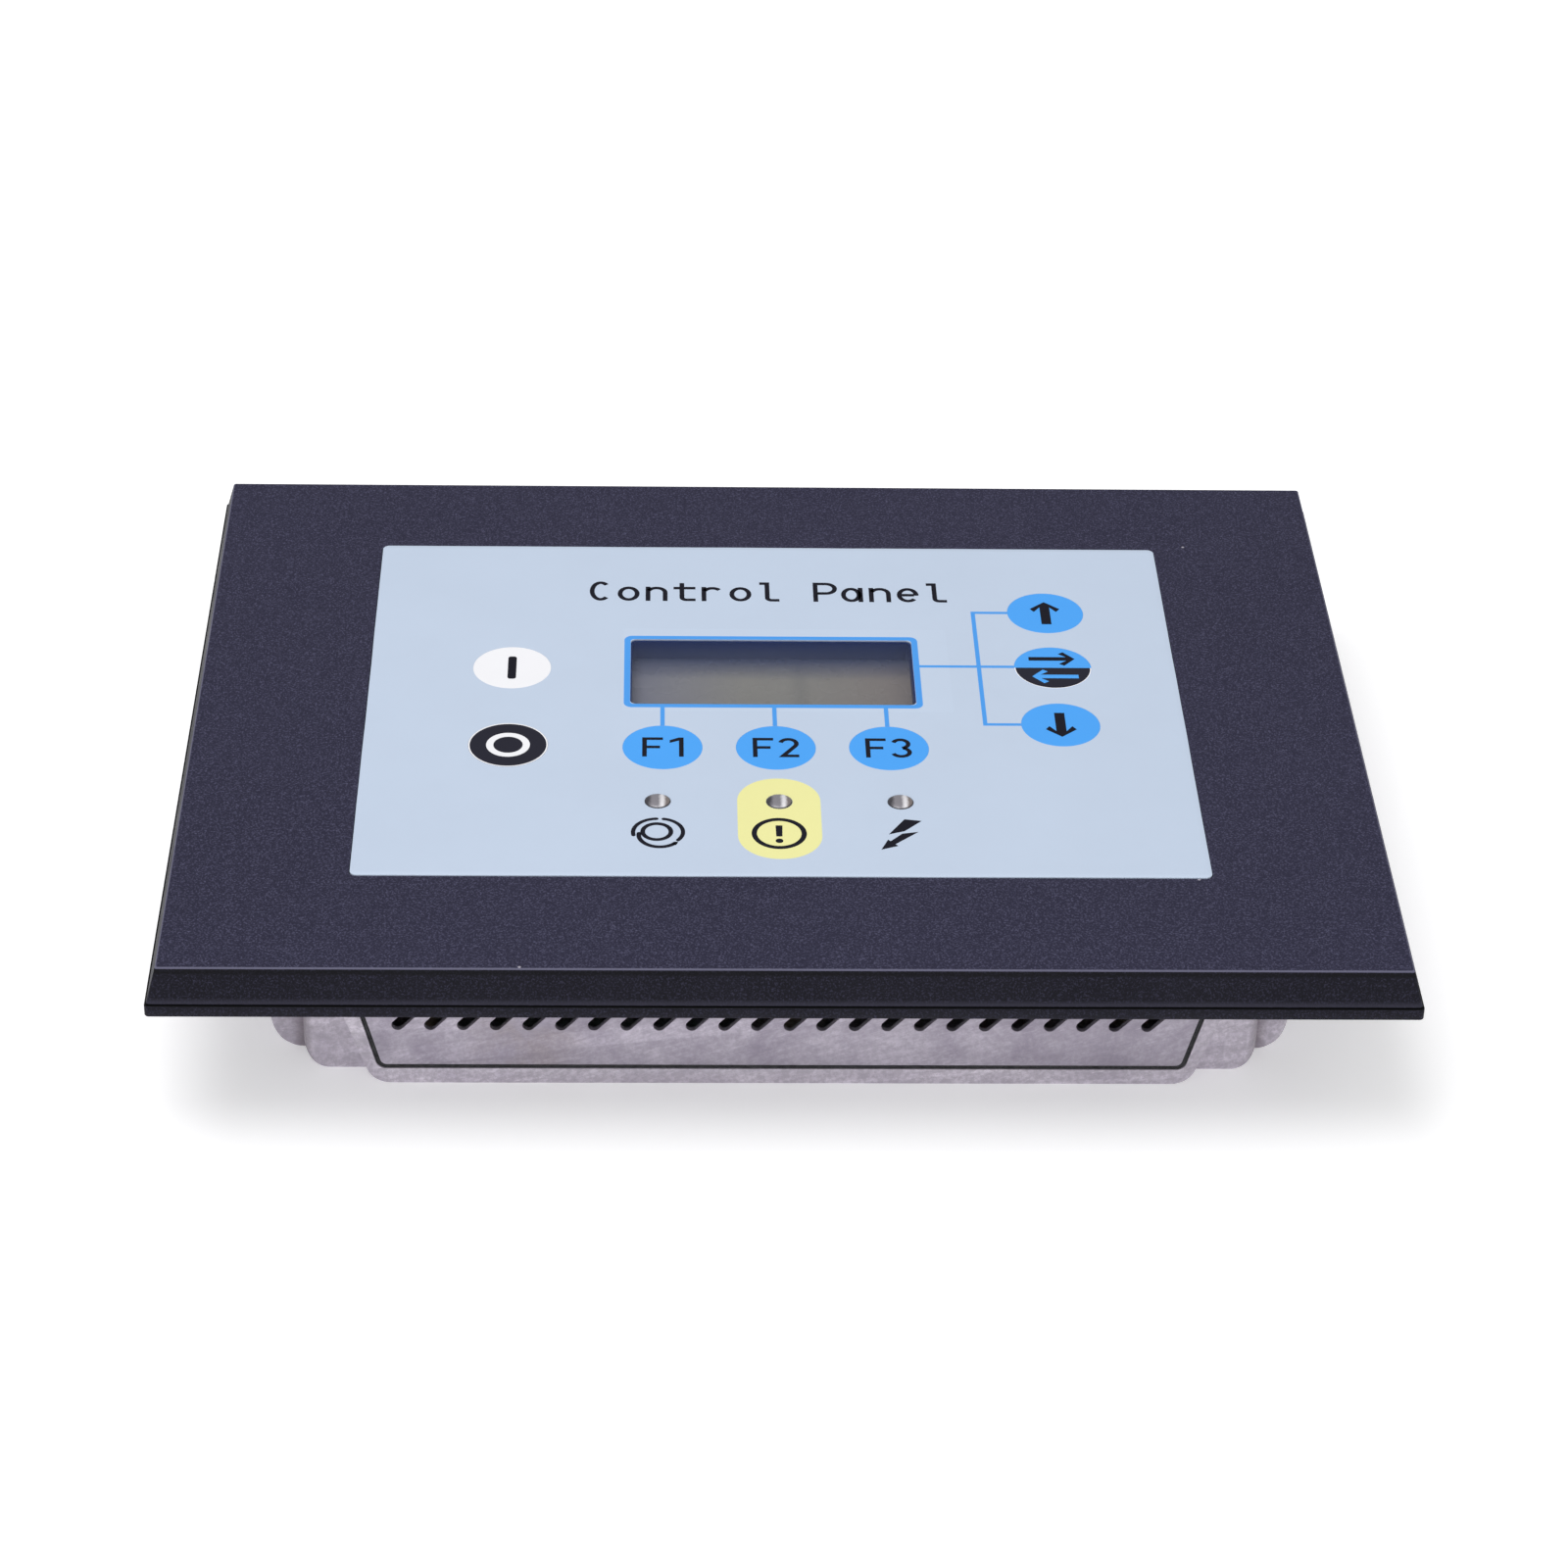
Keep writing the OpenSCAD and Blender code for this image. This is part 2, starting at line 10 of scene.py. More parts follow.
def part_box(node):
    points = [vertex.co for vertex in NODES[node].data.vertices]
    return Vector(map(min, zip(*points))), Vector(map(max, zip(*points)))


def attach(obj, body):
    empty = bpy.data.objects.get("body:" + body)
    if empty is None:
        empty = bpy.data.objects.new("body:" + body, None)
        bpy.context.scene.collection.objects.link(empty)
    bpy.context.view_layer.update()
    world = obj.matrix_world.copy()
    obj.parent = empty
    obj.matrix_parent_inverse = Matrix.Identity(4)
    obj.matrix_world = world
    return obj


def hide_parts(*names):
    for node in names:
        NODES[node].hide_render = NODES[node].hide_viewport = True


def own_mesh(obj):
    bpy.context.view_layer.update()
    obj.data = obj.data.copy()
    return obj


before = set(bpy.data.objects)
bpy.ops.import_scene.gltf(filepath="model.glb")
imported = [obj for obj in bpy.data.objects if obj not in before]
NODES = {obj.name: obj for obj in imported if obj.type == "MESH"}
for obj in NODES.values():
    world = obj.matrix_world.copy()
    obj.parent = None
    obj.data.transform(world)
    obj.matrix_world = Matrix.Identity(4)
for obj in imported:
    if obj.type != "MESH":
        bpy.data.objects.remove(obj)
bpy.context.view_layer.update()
MM = 0.001


# ---- camera, floor and light

FOCAL_MM = 100.22
CAMERA_AT = (-0.03246, -0.93929, 0.64552)
CAMERA_YAW, CAMERA_PITCH, CAMERA_ROLL = 0.036973, 0.584546, 0.024744
SKY_FRONT, SKY_BACK = 0.8, 0.32
SKY_FRONT_Y, SKY_BACK_Y = -0.1, 0.75
FLOOR_GLOW, FLOOR_SIDE = 0.3, 6
# place, size and watts of each soft box
LIGHTS = {"key_light": ((-0.35, -0.1, 1.6), (1.4, 1.0), 11),
          "front_light": ((0.2, -1.6, 0.6), (1.6, 0.6), 2)}


def linked(name, data):
    """A new object in the scene that shows the data."""
    made = bpy.data.objects.new(name, data)
    bpy.context.scene.collection.objects.link(made)
    return made


def make_camera():
    """The camera looks down on the panel's front from its lower edge."""
    ahead = Vector((math.sin(CAMERA_YAW) * math.cos(CAMERA_PITCH),
                    math.cos(CAMERA_YAW) * math.cos(CAMERA_PITCH),
                    -math.sin(CAMERA_PITCH)))
    level = Vector((math.cos(CAMERA_YAW), -math.sin(CAMERA_YAW), 0))
    upward = level.cross(ahead)
    right = math.cos(CAMERA_ROLL) * level + math.sin(CAMERA_ROLL) * upward
    up = math.cos(CAMERA_ROLL) * upward - math.sin(CAMERA_ROLL) * level
    data = bpy.data.cameras.new("camera")
    data.lens = FOCAL_MM
    data.sensor_width = 36
    data.clip_start = 0.01
    camera = linked("camera", data)
    camera.matrix_world = Matrix(((right.x, up.x, -ahead.x, CAMERA_AT[0]),
                                  (right.y, up.y, -ahead.y, CAMERA_AT[1]),
                                  (right.z, up.z, -ahead.z, CAMERA_AT[2]),
                                  (0, 0, 0, 1)))
    bpy.context.scene.camera = camera


def add_light(name, at, size, power):
    """A rectangular soft box that faces the panel."""
    data = bpy.data.lights.new(name, "AREA")
    data.shape = "RECTANGLE"
    data.size, data.size_y = size
    data.energy = power
    light = linked(name, data)
    light.location = at
    aim = Vector((0, 0, 0.02)) - Vector(at)
    light.rotation_euler = aim.to_track_quat("-Z", "Y").to_euler()


def make_stage():
    """Pale floor, white surroundings that dim towards the back, and two soft boxes."""
    world = bpy.data.worlds.new("surroundings")
    bpy.context.scene.world = world
    world.use_nodes = True
    tree = world.node_tree
    heading = tree.nodes.new("ShaderNodeTexCoord").outputs["Generated"]
    parts = tree.nodes.new("ShaderNodeSeparateXYZ")
    dimmer = tree.nodes.new("ShaderNodeMapRange")
    for key, value in (("From Min", SKY_FRONT_Y), ("From Max", SKY_BACK_Y),
                       ("To Min", SKY_FRONT), ("To Max", SKY_BACK)):
        dimmer.inputs[key].default_value = value
    tree.links.new(heading, parts.inputs["Vector"])
    tree.links.new(parts.outputs["Y"], dimmer.inputs["Value"])
    sky = tree.nodes["Background"]
    sky.inputs["Color"].default_value = (1, 1, 1, 1)
    tree.links.new(dimmer.outputs["Result"], sky.inputs["Strength"])
    scene = bpy.context.scene
    scene.view_settings.view_transform = "Standard"
    scene.view_settings.look = "None"
    floor = make_floor(FLOOR_SIDE / 2)
    for name, (at, size, watts) in LIGHTS.items():
        add_light(name, at, size, watts)


def make_floor(half):
    """A flat square sheet on the ground."""
    mesh = bpy.data.meshes.new("floor")
    mesh.from_pydata([(-half, -half, 0), (half, -half, 0), (half, half, 0), (-half, half, 0)],
                     [], [(0, 1, 2, 3)])
    mesh.materials.append(floor_material())
    return linked("floor", mesh)


# ---- materials

class Paint:
    """A principled material built node by node. Patterns are in object space, in metres."""

    def __init__(self, name, **settings):
        self.material = bpy.data.materials.new(name)
        self.material.use_nodes = True
        self.tree = self.material.node_tree
        self.shader = self.tree.nodes["Principled BSDF"]
        self.place = self.node("ShaderNodeTexCoord").outputs["Object"]
        self.bumps = None
        for key, value in settings.items():
            self.shader.inputs[key.replace("_", " ")].default_value = value

    def node(self, kind, settings=None, **inputs):
        made = self.tree.nodes.new(kind)
        for key, value in (settings or {}).items():
            setattr(made, key, value)
        for key, value in inputs.items():
            self.feed(made.inputs[key.replace("_", " ")], value)
        return made

    def feed(self, socket, value):
        if isinstance(value, bpy.types.NodeSocket):
            self.tree.links.new(value, socket)
        elif socket.type == "RGBA":
            socket.default_value = (*value, 1)
        else:
            socket.default_value = value

    def stretch(self, x, y, z, turn=(0, 0, 0)):
        """Object space turned and then scaled along the axes, for grain that runs one way."""
        turned_space = self.node("ShaderNodeMapping", Vector=self.place, Rotation=turn)
        made = self.node("ShaderNodeMapping", Vector=turned_space.outputs["Vector"],
                         Scale=(x, y, z))
        return made.outputs["Vector"]

    def noise(self, scale, detail=4.0, rough=0.55, warp=0.0, at=None):
        made = self.node("ShaderNodeTexNoise", Vector=at or self.place, Scale=scale,
                         Detail=detail, Roughness=rough, Distortion=warp)
        return made.outputs["Fac"]

    def cells(self, scale, feature="F1", spread=1.0):
        made = self.node("ShaderNodeTexVoronoi", {"feature": feature}, Vector=self.place,
                         Scale=scale, Randomness=spread)
        return made.outputs["Distance"]

    def wave(self, scale, direction="X", warp=0.0):
        made = self.node("ShaderNodeTexWave", {"bands_direction": direction},
                         Vector=self.place, Scale=scale, Distortion=warp)
        return made.outputs["Fac"]

    def math(self, operation, a, b=0.5):
        made = self.node("ShaderNodeMath", {"operation": operation})
        self.feed(made.inputs[0], a)
        self.feed(made.inputs[1], b)
        return made.outputs["Value"]

    def times(self, a, b):
        return self.math("MULTIPLY", a, b)

    def distance(self, value, place):
        return self.math("ABSOLUTE", self.math("SUBTRACT", value, place))

    def remap(self, value, low, high, to_low=0.0, to_high=1.0):
        made = self.node("ShaderNodeMapRange", Value=value)
        for key, number in (("From Min", low), ("From Max", high), ("To Min", to_low),
                            ("To Max", to_high)):
            made.inputs[key].default_value = number
        return made.outputs["Result"]

    def mix(self, factor, a, b):
        made = self.node("ShaderNodeMix", {"data_type": "RGBA"}, Factor=factor)
        self.feed(made.inputs[6], a)
        self.feed(made.inputs[7], b)
        return made.outputs[2]

    def axis(self, name):
        made = self.node("ShaderNodeSeparateXYZ", Vector=self.place)
        return made.outputs[name]

    def colour(self, value):
        self.feed(self.shader.inputs["Base Color"], value)

    def rough(self, value):
        self.feed(self.shader.inputs["Roughness"], value)

    def rough_between(self, low, high, *grain):
        """Roughness that wanders between two values with a noise of that grain."""
        self.rough(self.remap(self.noise(*grain), 0.3, 0.7, low, high))

    def bump(self, height, depth_mm, strength=1.0):
        """Adds relief: height 0..1 stands for that many millimetres."""
        made = self.node("ShaderNodeBump", Height=height, Distance=depth_mm * MM,
                         Strength=strength)
        if self.bumps:
            self.tree.links.new(self.bumps, made.inputs["Normal"])
        self.bumps = made.outputs["Normal"]
        self.feed(self.shader.inputs["Normal"], self.bumps)


def srgb(r, g, b):
    """Linear colour from 8-bit display values."""
    def linear(v):
        v /= 255
        return v / 12.92 if v <= 0.04045 else ((v + 0.055) / 1.055) ** 2.4
    return (linear(r), linear(g), linear(b))


def shade(colour, factor):
    return tuple(min(1, c * factor) for c in colour)


def floor_material():
    paint = Paint("studio_floor")
    pale = paint.mix(paint.noise(3), (0.92, 0.92, 0.93), (0.95, 0.95, 0.95))
    paint.colour(pale)
    paint.feed(paint.shader.inputs["Emission Color"], pale)
    paint.shader.inputs["Emission Strength"].default_value = FLOOR_GLOW
    paint.rough(0.9)
    return paint.material


def bezel_material():
    """Black moulding: grained face, slopes painted darker as shade, painted shade in the crease groove
    and under the face's edge, painted highlights on the ridge above the groove and along the face's
    rounded edge, specks of dust.
    """
    paint = Paint("bezel_plastic", Specular_IOR_Level=0.12)
    height = paint.axis("Z")
    crease = RIM_Z + EDGE_H

    def above(level, start, end, low=0.0, high=1.0):
        return paint.remap(height, (level + start) * MM, (level + end) * MM, low, high)

    def band(level, rise, fall, strength=1.0):
        """A stripe round the bezel: its soft lower and upper limits in mm from a level."""
        return paint.times(above(level, *rise), above(level, *fall, strength, 0))

    face = paint.mix(paint.noise(9, 5, 0.6, 0.4), srgb(38, 37, 55), srgb(47, 46, 66))
    grain = paint.noise(2100, 3, 0.75)
    speckle = paint.remap(grain, 0.5, 0.66, 0, 0.9)
    face = paint.mix(speckle, face, srgb(86, 85, 110))
    # painted shade: the slopes take a darker tone than the face
    side = paint.mix(paint.noise(60, 4, 0.6), srgb(12, 11, 19), srgb(24, 23, 34))
    side = paint.mix(paint.times(speckle, 0.8), side, srgb(54, 53, 72))
    # painted highlight on the ridge just above the groove at the crease
    ridge = band(crease, (0.25, 0.4), (0.7, 1.7), 0.75)
    side = paint.mix(ridge, side, srgb(50, 49, 62))
    # painted shade darkens the groove at the crease
    groove = band(crease, (-0.2, -0.1), (0.15, 0.3))
    side = paint.mix(groove, side, srgb(3, 3, 5))
    # the face's tone starts just under its edge; below that the slopes keep their darker painted-shade
    # tone
    tone = paint.mix(above(FACE_Z, -0.45, -0.3), side, face)
    # painted shade in a band on the slope just under the face's rounded edge
    painted_shoulder_shade = band(FACE_Z, (-1.8, -1.3), (-0.7, -0.4), 0.7)
    tone = paint.mix(painted_shoulder_shade, tone, srgb(8, 8, 12))
    # painted highlight along the face's rounded edge
    painted_edge_highlight = band(FACE_Z, (-0.4, -0.28), (-0.06, -0.01), 0.85)
    tone = paint.mix(painted_edge_highlight, tone, srgb(104, 103, 124))
    specks = paint.remap(paint.cells(110), 0.03, 0.05, 0.7, 0)
    dust = paint.times(specks, paint.remap(paint.noise(60, 1), 0.6, 0.62))
    paint.colour(paint.mix(dust, tone, srgb(190, 186, 198)))
    paint.rough_between(0.46, 0.6, 40, 4)
    paint.bump(grain, 0.05, 0.7)
    paint.bump(paint.cells(1500, "SMOOTH_F1"), 0.03, 0.6)
    return paint.material


def film_material(name, colour, rough=0.42, gloss=0.45):
    """Satin printed polyester: a very fine orange peel and faint clouding in the ink."""
    paint = Paint(name, Specular_IOR_Level=gloss, Coat_Weight=0.15 * gloss, Coat_Roughness=0.3)
    paint.colour(paint.mix(paint.noise(28, 4, 0.6), shade(colour, 0.965), shade(colour, 1.035)))
    paint.rough_between(rough - 0.05, rough + 0.06, 300, 3)
    paint.bump(paint.noise(2600, 2, 0.6), 0.008, 0.5)
    paint.bump(paint.noise(16, 2, 0.4), 0.25, 0.12)
    return paint.material


def window_material():
    """Clear film: a thin haze over whatever lies behind it."""
    paint = Paint("window_film", Alpha=0.12, Specular_IOR_Level=0.5)
    paint.colour(paint.mix(paint.noise(25), (0.06, 0.075, 0.11), (0.09, 0.1, 0.13)))
    paint.rough_between(0.08, 0.16, 90, 3)
    paint.bump(paint.noise(35, 2), 0.05, 0.15)
    return paint.material


def lcd_material():
    """Unlit display: olive-grey field, cooler at the left, browner at the right, darkened at the top by
    painted shade and a painted reflection.
    """
    paint = Paint("lcd_face", Specular_IOR_Level=0.4)
    low, high = WINDOW_LOW * MM, WINDOW_HIGH * MM
    rise = paint.remap(paint.axis("Y"), low.y, high.y)
    across = paint.remap(paint.axis("X"), low.x, high.x)
    cloud = paint.noise(22, 3, 0.5, 0.6, paint.stretch(0.35, 1, 1))
    bent = paint.math("ADD", rise, paint.remap(cloud, 0.3, 0.7, -0.07, 0.07))
    field = paint.mix(paint.remap(across, 0.05, 0.4), srgb(146, 147, 160), srgb(156, 154, 149))
    field = paint.mix(paint.remap(across, 0.6, 0.95), field, srgb(150, 142, 138))
    streak_side = paint.distance(across, 0.6)
    streak = paint.remap(streak_side, 0.005, 0.045, 0.16, 0)
    field = paint.mix(streak, field, srgb(70, 72, 80))
    # painted shade of the recess and a painted reflection darken the top of the field
    field = paint.mix(paint.remap(bent, 0.66, 0.98), field, srgb(84, 92, 120))
    paint.colour(field)
    paint.rough_between(0.22, 0.32, 120, 2)
    paint.bump(paint.noise(900, 2), 0.004, 0.3)
    return paint.material


def lining_material():
    """Blue-black mask round the display, a little lighter towards its foot."""
    paint = Paint("window_lining", Specular_IOR_Level=0.1)
    top, foot = FILM_LOW * MM, (FILM_LOW - 6) * MM
    shade_up = paint.remap(paint.axis("Z"), foot, top)
    tone = paint.mix(shade_up, srgb(96, 104, 134), srgb(4, 42, 112))
    paint.colour(paint.mix(paint.remap(paint.noise(80, 3), 0.3, 0.7, 0, 0.25), tone,
                           srgb(40, 58, 104)))
    paint.rough_between(0.45, 0.6, 200, 2)
    paint.bump(paint.noise(1200, 2), 0.01, 0.4)
    return paint.material


def lamp_material():
    """Clear lens: painted shade at the left, a painted highlight right of centre, browner at the right.
    """
    paint = Paint("lamp_lens", Metallic=0.15, Coat_Weight=0.6, Coat_Roughness=0.05)
    across = paint.math("ADD", paint.axis("X"), paint.remap(paint.noise(420, 2), 0.3, 0.7,
                                                            -0.0003, 0.0003))
    # painted shade darkens the left of each lens
    tone = paint.mix(paint.remap(across, -0.0024, -0.0014), srgb(58, 56, 64), srgb(138, 135, 142))
    # painted highlight just right of each lens's centre
    tone = paint.mix(paint.remap(across, 0.0002, 0.0009), tone, srgb(238, 236, 240))
    tone = paint.mix(paint.remap(across, 0.0014, 0.0020), tone, srgb(128, 118, 116))
    around = paint.node("ShaderNodeVectorMath", {"operation": "LENGTH"})
    flat_place = paint.node("ShaderNodeVectorMath", {"operation": "MULTIPLY"})
    paint.feed(flat_place.inputs[0], paint.place)
    paint.feed(flat_place.inputs[1], (1, 1, 0))
    paint.feed(around.inputs[0], flat_place.outputs["Vector"])
    rim = paint.remap(around.outputs["Value"], 0.0028, 0.0031)
    paint.colour(paint.mix(rim, tone, srgb(48, 46, 54)))
    paint.rough_between(0.18, 0.32, 800, 2)
    paint.bump(paint.noise(700, 2), 0.02, 0.25)
    return paint.material


def cast_material(name, light, dark, mottle, patch_x, corner_x):
    """Handled aluminium: slanting brush marks, cast mottle, scratches, stains at patch_x, and painted
    shade in the valley at corner_x.
    """
    paint = Paint(name, Metallic=0.5)
    clouds = paint.noise(60, 5, 0.65, 0.6)
    stains = paint.noise(16, 4, 0.65, 1.0)
    cast = paint.noise(700, 5, 0.75)
    brushed = paint.noise(1300, 4, 0.7, 0.1, paint.stretch(0.12, 1, 1, (0, 0.35, 0)))
    tone = paint.mix(paint.remap(clouds, 0.34, 0.62), dark, light)
    tone = paint.mix(paint.remap(stains, 0.54, 0.7, 0, 0.35), tone, shade(dark, 0.7))
    tone = paint.mix(paint.remap(brushed, 0.42, 0.6, 0, 0.4), tone, shade(dark, 0.74))
    tone = paint.mix(paint.remap(brushed, 0.56, 0.72, 0, 0.45), tone, shade(light, 1.3))
    tone = paint.mix(paint.remap(cast, 0.44, 0.58, mottle, 0), tone, shade(dark, 0.62))
    patch_side = paint.distance(paint.axis("X"), patch_x)
    patch = paint.times(paint.remap(patch_side, 0.004, 0.016, 0.5, 0),
                        paint.remap(clouds, 0.4, 0.6))
    tone = paint.mix(patch, tone, srgb(120, 104, 96))
    # painted shade: a brownish dark band in the valley where the housing's steps meet, at corner_x
    from_corner = paint.distance(paint.math("ABSOLUTE", paint.axis("X")), corner_x)
    tone = paint.mix(paint.remap(from_corner, 0.0004, 0.003, 0.6, 0), tone, srgb(92, 78, 82))
    scratch = paint.noise(90, 2, 0.5, 0.2, paint.stretch(0.08, 1, 2.4, (0, 0.12, 0)))
    paint.colour(paint.mix(paint.remap(scratch, 0.495, 0.505, 0.2, 0), tone, shade(dark, 0.5)))
    paint.rough_between(0.36, 0.54, 75, 5, 0.7)
    paint.bump(brushed, 0.03, 0.5)
    paint.bump(cast, 0.05, 0.6)
    return paint.material


def metal_material(name, colour, rough, lines=(1, 1, 1)):
    """Plated or turned metal with cloudy tarnish; lines stretches its brushing along an axis."""
    paint = Paint(name, Metallic=1.0)
    clouds = paint.noise(60, 4, 0.6, 0.5)
    fine = paint.noise(700, 4, 0.65, 0, paint.stretch(*lines))
    tone = paint.mix(clouds, shade(colour, 0.82), shade(colour, 1.08))
    paint.colour(paint.mix(paint.remap(fine, 0.3, 0.7, 0, 0.3), tone, shade(colour, 0.7)))
    paint.rough(paint.remap(clouds, 0.3, 0.7, rough - 0.07, rough + 0.1))
    paint.bump(fine, 0.012, 0.35)
    return paint.material


def plastic_material(name, colour, rough, grain=900):
    """Moulded plastic with flow clouding and a fine mould texture."""
    paint = Paint(name)
    clouds = paint.noise(70, 4, 0.6, 0.4)
    paint.colour(paint.mix(clouds, shade(colour, 0.86), shade(colour, 1.1)))
    paint.rough_between(rough - 0.06, rough + 0.08, 220, 3)
    paint.bump(paint.noise(grain, 3, 0.6), 0.02, 0.5)
    return paint.material


def foam_material():
    """Closed-cell foam: small pits between soft cells."""
    paint = Paint("seal_foam")
    cells = paint.cells(1400, "SMOOTH_F1")
    # painted shade: the colour darkens where the bump sinks into pits
    paint.colour(paint.mix(paint.remap(cells, 0.1, 0.7), (0.008, 0.008, 0.01), (0.03, 0.03, 0.034)))
    paint.rough_between(0.75, 0.95, 400, 2)
    paint.bump(cells, 0.15, 0.8)
    return paint.material


def board_material():
    """Solder mask over copper: tracks show as faint darker lanes, with small tinned pads."""
    paint = Paint("circuit_board", Coat_Weight=0.5, Coat_Roughness=0.15)
    lanes_x = paint.remap(paint.wave(190, "X", 0.6), 0.72, 0.8)
    lanes_y = paint.remap(paint.wave(170, "Y", 0.6), 0.78, 0.86)
    patch = paint.remap(paint.noise(28, 1), 0.48, 0.5)
    lanes = paint.mix(patch, lanes_x, lanes_y)
    mask = paint.mix(lanes, srgb(28, 92, 48), srgb(20, 66, 38))
    pads = paint.remap(paint.cells(260, spread=0.5), 0.16, 0.2, 1, 0)
    paint.colour(paint.mix(paint.times(pads, patch), mask, srgb(186, 184, 176)))
    paint.rough_between(0.26, 0.38, 150, 2)
    paint.bump(lanes, 0.03, 0.5)
    return paint.material


def ribbon_material():
    """Flat ribbon: one ridge for each lead."""
    paint = Paint("ribbon_cable")
    ridges = paint.wave(125, "X")
    # painted shade: the grooves between the ridges are darker, the ridge tops lighter
    paint.colour(paint.mix(ridges, srgb(108, 108, 114), srgb(150, 150, 156)))
    paint.rough_between(0.42, 0.55, 200, 2)
    paint.bump(ridges, 0.2, 0.8)
    return paint.material


def circuit_film_material():
    """Amber film with copper lanes."""
    paint = Paint("circuit_film", Coat_Weight=0.3)
    lanes = paint.remap(paint.wave(95, "X", 0.2), 0.5, 0.6)
    paint.colour(paint.mix(lanes, srgb(196, 120, 34), srgb(150, 78, 30)))
    paint.rough_between(0.28, 0.4, 180, 2)
    paint.bump(lanes, 0.05, 0.5)
    return paint.material


def blank_label_material():
    """Silver film with blank ruled fields."""
    paint = Paint("blank_label", Metallic=0.25)
    rules = paint.remap(paint.wave(33, "Y"), 0.985, 0.995)
    tone = paint.mix(paint.noise(45, 3), srgb(198, 198, 204), srgb(216, 216, 220))
    paint.colour(paint.mix(rules, tone, srgb(96, 98, 106)))
    paint.rough_between(0.32, 0.44, 160, 3)
    paint.bump(paint.noise(600, 2), 0.01, 0.3)
    return paint.material


# ---- mesh helpers

def new_piece(name, verts, faces, material, body="panel", smooth_under=35):
    """A mesh piece in metres that rides on a body; edges sharper than smooth_under stay crisp."""
    mesh = bpy.data.meshes.new(name)
    mesh.from_pydata(verts, [], faces)
    mesh.validate()
    mesh.shade_smooth()
    mesh.set_sharp_from_angle(angle=math.radians(smooth_under))
    mesh.materials.append(material)
    piece = linked(name, mesh)
    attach(piece, body)
    return piece


def add(name, shape, material, node=None, body="panel", smooth_under=35):
    """A riding piece with its colour slot; it stands for the CAD node, if one is named."""
    verts, faces = shape
    piece = new_piece(name, verts, faces, material, body, smooth_under)
    if node:
        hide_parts(node)
    return piece


def eased(node, material, width_mm):
    """Stands for a CAD node with its sharp edges eased to a small radius."""
    merge_m, flat_degrees, sharp_degrees = 1e-6, 0.6, 28
    shape = bmesh.new()
    shape.from_mesh(NODES[node].data)
    bmesh.ops.remove_doubles(shape, verts=shape.verts, dist=merge_m)
    bmesh.ops.dissolve_limit(shape, angle_limit=math.radians(flat_degrees), verts=shape.verts,
                             edges=shape.edges)
    sharp = [e for e in shape.edges
             if len(e.link_faces) == 2 and e.calc_face_angle(0) > math.radians(sharp_degrees)]
    bmesh.ops.bevel(shape, geom=sharp, offset=width_mm * MM, segments=2, profile=0.5,
                    affect="EDGES", clamp_overlap=True)
    shape.verts.ensure_lookup_table()
    verts = [v.co.copy() for v in shape.verts]
    faces = [[v.index for v in f.verts] for f in shape.faces]
    shape.free()
    add(node + "_eased", (verts, faces), material, node)


def metres(points):
    return [(x * MM, y * MM, z * MM) for x, y, z in points]


def at_level(points, z):
    return [(x, y, z) for x, y in points]


def fill(loops, up=True):
    """Triangles over one outline and its holes, all facing up or all facing down."""
    level = [[Vector((x, y, 0)) for x, y in loop] for loop in loops]
    flat = [point for loop in level for point in loop]
    faces = []
    for a, b, c in tessellate_polygon(level):
        turn = (flat[b] - flat[a]).cross(flat[c] - flat[a]).z
        faces.append((a, b, c) if (turn > 0) == up else (a, c, b))
    return faces


def prism(loops, low, high):
    """Vertices and faces of a flat closed solid: loops are one outline and its holes, in mm."""
    flat = [point for loop in loops for point in loop]
    count = len(flat)
    verts = metres(at_level(flat, high) + at_level(flat, low))
    faces = []
    for face in fill(loops):
        faces += [face, tuple(i + count for i in reversed(face))]
    start = 0
    for loop in loops:
        n = len(loop)
        area = sum(loop[i][0] * loop[(i + 1) % n][1] - loop[(i + 1) % n][0] * loop[i][1]
                   for i in range(n))
        outer = loop is loops[0]
        for i in range(n):
            a, b = start + i, start + (i + 1) % n
            wall = (a, a + count, b + count, b)
            faces.append(wall if (area > 0) == outer else tuple(reversed(wall)))
        start += n
    return verts, faces


def ellipse(x, y, rx, ry, start, end, steps=28):
    """Points along an ellipse, angles in degrees."""
    turns = [math.radians(start + (end - start) * i / steps) for i in range(steps + 1)]
    return [(x + rx * math.cos(turn), y + ry * math.sin(turn)) for turn in turns]


def arc(x, y, r, start, end, steps=None):
    return ellipse(x, y, r, r, start, end, steps or max(3, int(abs(end - start) / 6)))


def disc(x, y, r, steps=96):
    return arc(x, y, r, 0, 360, steps)[:-1]


def rounded_box(x, y, w, d, r):
    """Outline of a rectangle with rounded corners, about its centre."""
    half_w, half_d = w / 2 - r, d / 2 - r
    return (arc(x + half_w, y + half_d, r, 0, 90) + arc(x - half_w, y + half_d, r, 90, 180)
            + arc(x - half_w, y - half_d, r, 180, 270) + arc(x + half_w, y - half_d, r, 270, 360))


def offset_line(points, distance, closed=False):
    """Points moved sideways, with mitred corners."""
    n = len(points)
    moved = []
    for i, (x, y) in enumerate(points):
        before = points[i - 1] if closed or i else points[i]
        after = points[(i + 1) % n] if closed or i < n - 1 else points[i]
        a, b = Vector((x - before[0], y - before[1])), Vector((after[0] - x, after[1] - y))
        a = a.normalized() if a.length > 1e-9 else b.normalized()
        b = b.normalized() if b.length > 1e-9 else a
        normal = Vector((-(a.y + b.y), a.x + b.x)).normalized()
        reach = distance / max(0.35, normal.dot(Vector((-a.y, a.x))))
        moved.append((x + normal.x * reach, y + normal.y * reach))
    return moved


